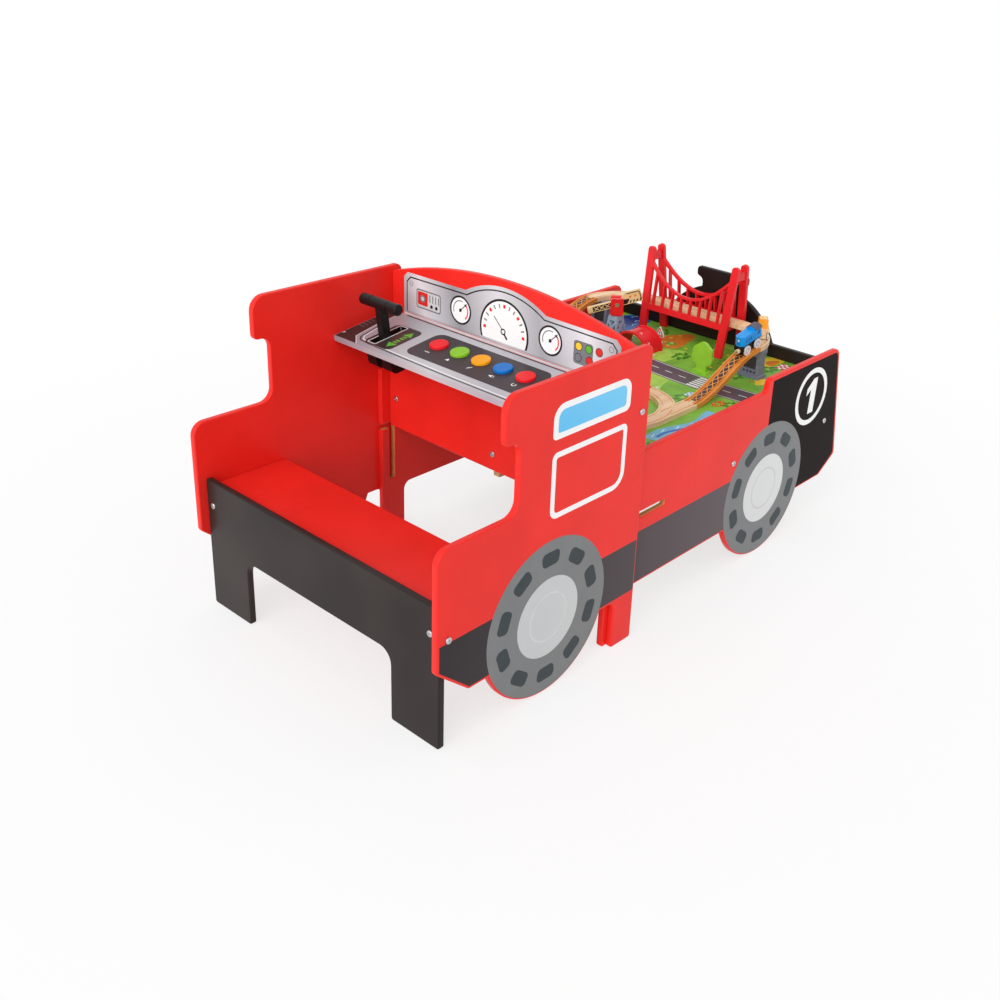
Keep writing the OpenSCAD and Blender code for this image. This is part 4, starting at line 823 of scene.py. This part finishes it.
FLOW_X, FLOW_LEN, FLOW_Y, FLOW_SWAY, FLOW_STEPS = 720, 230, -284, 10, 24
flow = [(FLOW_X + FLOW_LEN * i / FLOW_STEPS, FLOW_Y + FLOW_SWAY * math.sin(i / 3.2) - 0.7 * i)
        for i in range(FLOW_STEPS + 1)]
tray.add(INK_STREAM, held(line(flow, 34)), (), 2)
tray.add(INK_POND, held(line([(x, y - 6) for x, y in flow[2:-2]], 8)), (), 3)
for i in range(2, 22, 4):
    x, y = flow[i]
    tray.stroke(INK_FOAM, [(x + d, y + 5 + 2 * math.sin(d / 3.0)) for d in range(-8, 9, 2)], 2.4, 4)
tray.add(INK_CLAY, held(line([(955 + 7 * i, -300 - 8 * math.sin(i / 2.5)) for i in range(9)], 16)), (), 2)

SHORE_A, SHORE_B, STREAM_Y, STREAM_ENDS = 160, 96, -240, (700, 975)
STEP_X_SHARE, STEP_Y_SHARE = 0.7549, 0.5698
WALL_ROOM_X, WALL_ROOM_Y, ROAD_ROOM = 30, 24, 20


def scatter(count, first):
    """Places spread evenly over the grass, clear of the road and the water."""
    for k in range(count):
        x = TRAY_X0 + WALL_ROOM_X + (TRAY_X1 - TRAY_X0 - 2 * WALL_ROOM_X) * ((first + STEP_X_SHARE * k) % 1)
        y = -TRAY_Y + WALL_ROOM_Y + 2 * (TRAY_Y - WALL_ROOM_Y) * ((first + STEP_Y_SHARE * k) % 1)
        in_pond = Vector(((x - POND_X) / SHORE_A, (y - POND_Y) / SHORE_B)).length <= 1
        in_stream = y < STREAM_Y and STREAM_ENDS[0] < x < STREAM_ENDS[1]
        if not in_pond and not in_stream and abs(x - road_x(y)) > ROAD_W / 2 + ROAD_ROOM:
            yield k, x, y


for k, x, y in scatter(52, 0.22):
    shrub(x, y, 0.9 + 0.6 * (0.37 * k % 1), k)
for k, x, y in scatter(90, 0.61):
    flower(x, y, [INK_RED, INK_FOAM, INK_YELLOW][k % 3])
for k, x, y in scatter(14, 0.83):
    size = 7 + 3 * (0.61 * k % 1)
    tray.add(INK_GREY, blob(x, y, size, size * 0.75, 3, k, 0.1, 20), (), 2)
    tray.add(INK_PALE, blob(x - size * 0.2, y + size * 0.2, size * 0.55, size * 0.4, 3, k, 0.1, 16), (), 3)
BED_X, BED_Y, BED_A, BED_B, BED_COUNT = 1002, -268, 16, 9, 6
for k in range(BED_COUNT):
    t = math.tau * k / BED_COUNT
    flower(BED_X + BED_A * math.cos(t), BED_Y + BED_B * math.sin(t), INK_RED, 3.8)


def mat(x, y, cell, columns, rows, inks):
    """A chequered mat with its corner at x, y."""
    for i in range(columns):
        for k in range(rows):
            square = block(x + cell * i, y + cell * k, x + cell * (i + 1), y + cell * (k + 1))
            tray.add(inks[(i + k) % 2], square, (), 5)


mat(988, -206, 7, 4, 4, (INK_STREAM, INK_FOAM))
mat(1318, -252, 8, 5, 3, (INK_RED, INK_WHITE))
tray.make()

# Truss print between the grooves of the ramps
RAMP_X0 = low("near_ramp").x
RAMP_LEN, RISE, STRAIGHT, TRACK_T = 256, 80, 0.05, 12
RAMP_FOOT = TRAY_TOP + TRACK_T
CELLS, HALF_W, BAR_W = 11, 8.2, 2.4


def climb(x):
    s = min(max((x - RAMP_X0) / RAMP_LEN, 0), 1)
    return RAMP_FOOT + RISE * (STRAIGHT * s + (1 - STRAIGHT) * (3 * s * s - 2 * s ** 3))


for name in ("near_ramp", "far_ramp"):
    mid = middle(name).y
    sheet = Print(name + "_print", at(0, 0, 0), X, Y, Z, slot="ramp_wood",
                  warp=lambda a, b, h, mid=mid: at(a, mid + b, climb(a) + h))
    first, last = RAMP_X0 + 13, RAMP_X0 + RAMP_LEN - 10
    step = (last - first) / CELLS
    for i in range(CELLS):
        a, b = first + step * i, first + step * (i + 1)
        for x in (a, (a + b) / 2):
            sheet.add(INK_DARK, block(x, -HALF_W, x + step / 2, HALF_W), (), 3)
        for s, level in ((1, 4), (-1, 5)):
            sheet.stroke(RAMP, [(a, -s * HALF_W), ((a + b) / 2, 0), (b, s * HALF_W)], BAR_W, level)
    sheet.make()

# Crane: truss print on the boom, pulley and holes, on both of its sides
TURN, LIFT = math.radians(-50), math.radians(18)
BOOM_HALF_T, BAND, PULLEY_X = 6, 6.6, -71.4
level_out = Vector((math.cos(TURN), math.sin(TURN), 0))
boom_u = level_out * math.cos(LIFT) + Z * math.sin(LIFT)
boom_v = Z * math.cos(LIFT) - level_out * math.sin(LIFT)
boom_n = boom_u.cross(boom_v)
for side_name, s in (("right", 1), ("left", -1)):
    sheet = Print("boom_print_" + side_name, pivot("crane_luff") + boom_n * s * BOOM_HALF_T * MM,
                  boom_u, boom_v, boom_n * s, "crane_arm", "boom_wood")
    sheet.add(INK_BLACK, shape([(-66, -BAND), (-19, -BAND), (-15, BAND), (-66, BAND)], 1.5))
    sheet.add(INK_BLACK, shape([(15, -BAND), (27, -BAND), (36, 5.4), (15, BAND)], 1.5))
    for k in range(3):
        x = -62.5 + 15 * k
        sheet.stroke(BOOM, [(x, -5), (x + 13, 5)], 2.0, 2)
        sheet.stroke(BOOM, [(x, 5), (x + 13, -5)], 2.0, 3)
    sheet.ring(INK_DARK, PULLEY_X, 0, 5.6, 3.4, 2, 24)
    sheet.add(INK_WHITE, disc(PULLEY_X, 0, 3.4, 20), (), 2)
    sheet.stroke(INK_BLACK, [(30, 20), (62, 20), (65, 16), (65, -5)], 2.4, 1)
    for k in range(4):
        x = 32 + 9 * k
        sheet.add(INK_BLACK, [(x, -6.5), (x + 4, -6.5), (x + 8, 0), (x + 4, 0)], (), 1)
    for x in (38, 52):
        sheet.add(INK_CLAY, disc(x, 10, 3.2, 20), (), 1)
    sheet.make()

# Road sign, tunnel marks and panels of the piers
SIGN_HALF_T, SIGN_FOOT, SIGN_SIZE = 2, 20, 34
sign_mid = middle("road_sign")
for side_name, s in (("back", -1), ("front", 1)):
    face = at(sign_mid.x + s * SIGN_HALF_T, sign_mid.y, TRAY_TOP + SIGN_FOOT)
    sheet = Print("sign_print_" + side_name, face, Y * s, Z, X * s, slot="white_toy")
    tall = SIGN_SIZE * math.sin(math.radians(60))
    outer = shape([(-SIGN_SIZE / 2 + 2.6, 1.4), (SIGN_SIZE / 2 - 2.6, 1.4), (0, tall - 2.6)], 2)
    inner = shape([(-SIGN_SIZE / 2 + 8, 4.6), (SIGN_SIZE / 2 - 8, 4.6), (0, tall - 9)], 1)
    sheet.add(INK_RED, outer, [inner], 1)
    sheet.add(INK_BLACK, block(-1.2, 9, 1.2, 16), (), 1)
    sheet.add(INK_BLACK, disc(0, 6.8, 1.3, 14), (), 1)
    sheet.make()

TUNNEL_R, MARKS, MARK_IN, FIRST_MARK, MARK_STEP = 52, 4, 22, 33, 38
tunnel_mid, mark_x = middle("tunnel").y, low("tunnel").x + MARK_IN


def round_tunnel(a, b, h):
    t = math.radians(b)
    return at(a, tunnel_mid - (TUNNEL_R + h) * math.cos(t), TRAY_TOP + (TUNNEL_R + h) * math.sin(t))


marks = Print("tunnel_print", at(0, 0, 0), X, Y, Z, slot="red_toy", warp=round_tunnel)
for k in range(MARKS):
    b = FIRST_MARK + MARK_STEP * k
    marks.stroke(INK_WHITE, [(mark_x - 3, b - 4), (mark_x + 3, b), (mark_x - 3, b + 4)], 1.4, 3)
marks.make()

PIER_X, PIER_PANEL, PIER_IN = middle("bridge_piers").x, (-18, 23, 18, 57), 9
pier_ends = low("bridge_piers").y, high("bridge_piers").y
PIER_HALF_W = 31
COURSES, COURSE_H, JOINT_W = 5, 6.8, 0.7
for end_name, mid in (("near", pier_ends[0] + PIER_HALF_W), ("far", pier_ends[1] - PIER_HALF_W)):
    for side_name, s in (("back", -1), ("front", 1)):
        sheet = Print("pier_print_%s_%s" % (end_name, side_name), at(PIER_X + s * PIER_IN, mid, TRAY_TOP),
                      Y * s, Z, X * s, slot="grey_toy")
        a, b, c, d = PIER_PANEL
        sheet.add(INK_SLATE, block(a + 0.4, b + 0.4, c - 0.4, d - 0.4))
        for k in range(1, COURSES):
            sheet.stroke(INK_ROAD, [(a + 1, b + COURSE_H * k), (c - 1, b + COURSE_H * k)], JOINT_W, 2)
        for k in range(COURSES):
            foot, top = b + COURSE_H * k + 0.6, b + COURSE_H * (k + 1) - 0.6
            for x in range(-12 + 6 * (k % 2), 18, 12):
                sheet.stroke(INK_ROAD, [(x, foot), (x, top)], JOINT_W, 2)
        sheet.make()


# Train: the locomotive's windows, vents, lamp and couplers, rings on the wheels, and on the load a painted
# top highlight with two printed dots
def turned(name, origin, axis, profile, material, body, n=32):
    """A closed turned piece: (along, radius) steps about an axis."""
    u = axis.cross(Z).normalized() if abs(axis.z) < 0.9 else X
    v = axis.cross(u)
    verts, faces = [], []
    turns = [math.tau * i / n for i in range(n)]
    for a, r in profile:
        verts += [origin + (axis * a + u * r * math.cos(t) + v * r * math.sin(t)) * MM for t in turns]
    for k in range(len(profile) - 1):
        for i in range(n):
            j = (i + 1) % n
            faces.append((k * n + i, k * n + j, (k + 1) * n + j, (k + 1) * n + i))
    faces.append(tuple(range(n))[::-1])
    faces.append(tuple(range((len(profile) - 1) * n, len(profile) * n)))
    mesh = bpy.data.meshes.new(name)
    mesh.from_pydata(verts, [], faces)
    mesh.materials.append(material)
    form = bmesh.new()
    form.from_mesh(mesh)
    bmesh.ops.recalc_face_normals(form, faces=form.faces)
    form.to_mesh(mesh)
    form.free()
    shaded(mesh)
    o = bpy.data.objects.new(name, mesh)
    bpy.context.scene.collection.objects.link(o)
    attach(o, body)


def reach(node, origin, axis):
    """How far a solid goes from a point along an axis."""
    o = NODES[node]
    return max((o.matrix_world @ v.co - origin).dot(axis) for v in o.data.vertices) / MM


front, rear = pivot("loco_front_spin"), pivot("loco_rear_spin")
loco_mid = (front + rear) / 2
loco_u = (rear - front).normalized()
loco_v = Vector((-loco_u.z, 0, loco_u.x))
PLATE_TOP, HOOD_HALF_W, WINDOW_PLANE = 15.1, 12.5, 12.3
loco_nose = reach("loco_body", loco_mid, -loco_u)
loco_back = reach("loco_body", loco_mid, loco_u)
CAB_LEN, WINDOW_W, WINDOW_H, WINDOW_Z = 25, 10, 11, 30.1
for side_name, s in (("right", -1), ("left", 1)):
    sheet = Print("loco_window_" + side_name, loco_mid + Y * s * WINDOW_PLANE * MM, loco_u, loco_v, Y * s,
                  slot="blue_toy")
    x = loco_back - CAB_LEN / 2
    sheet.add(INK_NAVY, block(x - WINDOW_W / 2, WINDOW_Z - WINDOW_H / 2,
                              x + WINDOW_W / 2, WINDOW_Z + WINDOW_H / 2))
    sheet.make()
    sheet = Print("loco_vents_" + side_name, loco_mid + Y * s * HOOD_HALF_W * MM, loco_u, loco_v, Y * s,
                  slot="blue_toy")
    for k in range(3):
        x = -loco_nose + 16 + 10 * k
        sheet.add(INK_NAVY, block(x - 2.2, PLATE_TOP + 7, x + 2.2, PLATE_TOP + 16, 1))
    sheet.make()
sheet = Print("loco_lamp", loco_mid - loco_u * loco_nose * MM, -Y, loco_v, -loco_u, slot="blue_toy")
sheet.ring(INK_NAVY, 0, PLATE_TOP + 15, 3.6, 2.6, 2, 28)
sheet.add(INK_FOAM, disc(0, PLATE_TOP + 15, 2.6, 24), (), 2)
for k in range(3):
    sheet.stroke(INK_NAVY, [(-4.4, PLATE_TOP + 4 + 2.4 * k), (4.4, PLATE_TOP + 4 + 2.4 * k)], 1.1, 1)
sheet.make()

COUPLER_R, COUPLER_Z, SLEEVE_L, MAGNET_R = 5.5, 3, 8.4, 3.8
tip = reach("loco_chassis", loco_mid, -loco_u)
heel = reach("loco_chassis", loco_mid, loco_u)
coupler = loco_mid + loco_v * COUPLER_Z * MM


def sleeve(name, axis, end):
    """A wooden sleeve over a coupler's end."""
    turned(name, coupler, axis, [(end - SLEEVE_L, COUPLER_R + 0.2), (end - 0.4, COUPLER_R + 0.2),
                                 (end + 0.1, COUPLER_R - 0.4), (end + 0.1, 3.9)], BEECH, TABLE)


sleeve("coupler_sleeve", -loco_u, tip)
turned("coupler_magnet", coupler, -loco_u,
       [(tip - 0.5, MAGNET_R), (tip + 0.5, MAGNET_R), (tip + 0.8, MAGNET_R - 0.6)], STEEL, TABLE)
sleeve("coupler_sleeve_back", loco_u, heel)

HUB_DISH = 0.8
for body, node, joint in [("loco_front_wheels", "loco_front_axle", "loco_front_spin"),
                          ("loco_rear_wheels", "loco_rear_axle", "loco_rear_spin"),
                          ("wagon_front_wheels", "wagon_front_axle", "wagon_front_spin"),
                          ("wagon_rear_wheels", "wagon_rear_axle", "wagon_rear_spin")]:
    axis = Vector(JOINTS[joint]["axis"])
    across = axis.cross(Z).normalized()
    size = reach(node, pivot(joint), Z)
    for side_name, s in (("right", -1), ("left", 1)):
        out = reach(node, pivot(joint), axis * s)
        sheet = Print("%s_print_%s" % (body, side_name), pivot(joint) + axis * s * (out - HUB_DISH) * MM,
                      across, Z, axis * s, body, "train_wheel")
        sheet.ring(INK_PALE, 0, 0, size * 0.58, size * 0.34, 1, 32)
        sheet.ring(INK_GREY, 0, 0, size * 0.5, size * 0.44, 2, 32)
        sheet.add(INK_GREY, disc(0, 0, size * 0.1, 16), (), 2)
        sheet.make()

load = middle("wagon_load")
wagon_v = Vector(JOINTS["wagon_front_spin"]["axis"])
wagon_u = wagon_v.cross(Z)
sheet = Print("load_top_highlight_and_print", at(load.x, load.y, high("wagon_load").z), wagon_u, wagon_v, Z, slot="orange_toy")
# The cream panel is a painted highlight where the load's top catches the light; the clay dots are print.
sheet.add(INK_CREAM, block(-11, -8.5, 11, 8.5, 2))
for k in (-1, 1):
    sheet.add(INK_CLAY, disc(5 * k, 2, 1.8, 20), (), 2)
sheet.make()

# Stage, light and camera
FLOOR = 14.0
FADE_FROM, FADE_TO, FADE_LEAST = 1.1, 2.2, 0.72
SKY_LIGHT, SUN_LIGHT, SUN_SPREAD, SUN_WAY = 0.72, 1.95, math.radians(60), Vector((0.84, 0.26, -0.5))
floor_mesh = bpy.data.meshes.new("floor")
floor_corners = [(-FLOOR, -FLOOR, 0), (FLOOR, -FLOOR, 0), (FLOOR, FLOOR, 0), (-FLOOR, FLOOR, 0)]
floor_mesh.from_pydata(floor_corners, [], [(0, 1, 2, 3)])
floor = bpy.data.objects.new("floor", floor_mesh)
bpy.context.scene.collection.objects.link(floor)


def any_ray(nodes, links):
    """1 for rays from the camera, from a gloss and through glass."""
    path = nodes.new("ShaderNodeLightPath")
    value = path.outputs["Is Camera Ray"]
    for kind in ("Is Glossy Ray", "Is Transmission Ray"):
        most = nodes.new("ShaderNodeMath")
        most.operation = "MAXIMUM"
        links.new(value, most.inputs[0])
        links.new(path.outputs[kind], most.inputs[1])
        value = most.outputs[0]
    return value


paper = coated("white_floor", (246, 246, 246), 0.6, 0.004, 3, 300, 0.00001)
fn, fl = paper.node_tree.nodes, paper.node_tree.links
coord = fn.new("ShaderNodeTexCoord")
far = fn.new("ShaderNodeVectorMath")
far.operation = "LENGTH"
fl.new(coord.outputs["Object"], far.inputs[0])
fade = fn.new("ShaderNodeMapRange")
give(fade, From_Min=FADE_FROM, From_Max=FADE_TO, To_Min=FADE_LEAST)
fl.new(far.outputs["Value"], fade.inputs["Value"])
both = fn.new("ShaderNodeMath")
both.operation = "MULTIPLY"
fl.new(fade.outputs["Result"], both.inputs[0])
fl.new(any_ray(fn, fl), both.inputs[1])
glow = fn.new("ShaderNodeEmission")
give(glow, Strength=1.0)
join = fn.new("ShaderNodeMixShader")
fl.new(both.outputs[0], join.inputs["Fac"])
fl.new(fn["Principled BSDF"].outputs[0], join.inputs[1])
fl.new(glow.outputs[0], join.inputs[2])
fl.new(join.outputs[0], fn["Material Output"].inputs["Surface"])
floor_mesh.materials.append(paper)

world = bpy.data.worlds.new("studio")
bpy.context.scene.world = world
world.use_nodes = True
wn, wl = world.node_tree.nodes, world.node_tree.links
sky = wn["Background"]
give(sky, Color=(1, 1, 1, 1), Strength=SKY_LIGHT)
white = wn.new("ShaderNodeBackground")
give(white, Color=(1, 1, 1, 1), Strength=1.0)
mix = wn.new("ShaderNodeMixShader")
wl.new(any_ray(wn, wl), mix.inputs["Fac"])
wl.new(sky.outputs[0], mix.inputs[1])
wl.new(white.outputs[0], mix.inputs[2])
wl.new(mix.outputs[0], wn["World Output"].inputs["Surface"])

sun = bpy.data.lights.new("window", "SUN")
sun.energy = SUN_LIGHT
sun.angle = SUN_SPREAD
sun_object = bpy.data.objects.new("window", sun)
sun_object.rotation_euler = SUN_WAY.to_track_quat("-Z", "Y").to_euler()
bpy.context.scene.collection.objects.link(sun_object)

CAMERA = Vector((-1.91444, -1.6324, 1.4308))
YAW, PITCH, ROLL = math.radians(40.4535), math.radians(23.6746), math.radians(-2.8965)
SENSOR, LENS, SHIFT_X, SHIFT_Y = 36, 42.07, -0.0542, -0.0716
look = Vector((math.cos(YAW) * math.cos(PITCH), math.sin(YAW) * math.cos(PITCH), -math.sin(PITCH)))
level = Vector((math.sin(YAW), -math.cos(YAW), 0))
under = look.cross(level)
side = level * math.cos(ROLL) + under * math.sin(ROLL)
drop = under * math.cos(ROLL) - level * math.sin(ROLL)
cam_data = bpy.data.cameras.new("camera")
cam = bpy.data.objects.new("camera", cam_data)
turn = Matrix((side, -drop, -look)).transposed().to_4x4()
turn.translation = CAMERA
cam.matrix_world = turn
cam_data.sensor_width = SENSOR
cam_data.lens = LENS
cam_data.shift_x = SHIFT_X
cam_data.shift_y = SHIFT_Y
bpy.context.scene.collection.objects.link(cam)
bpy.context.scene.camera = cam
bpy.context.scene.view_settings.view_transform = "Standard"
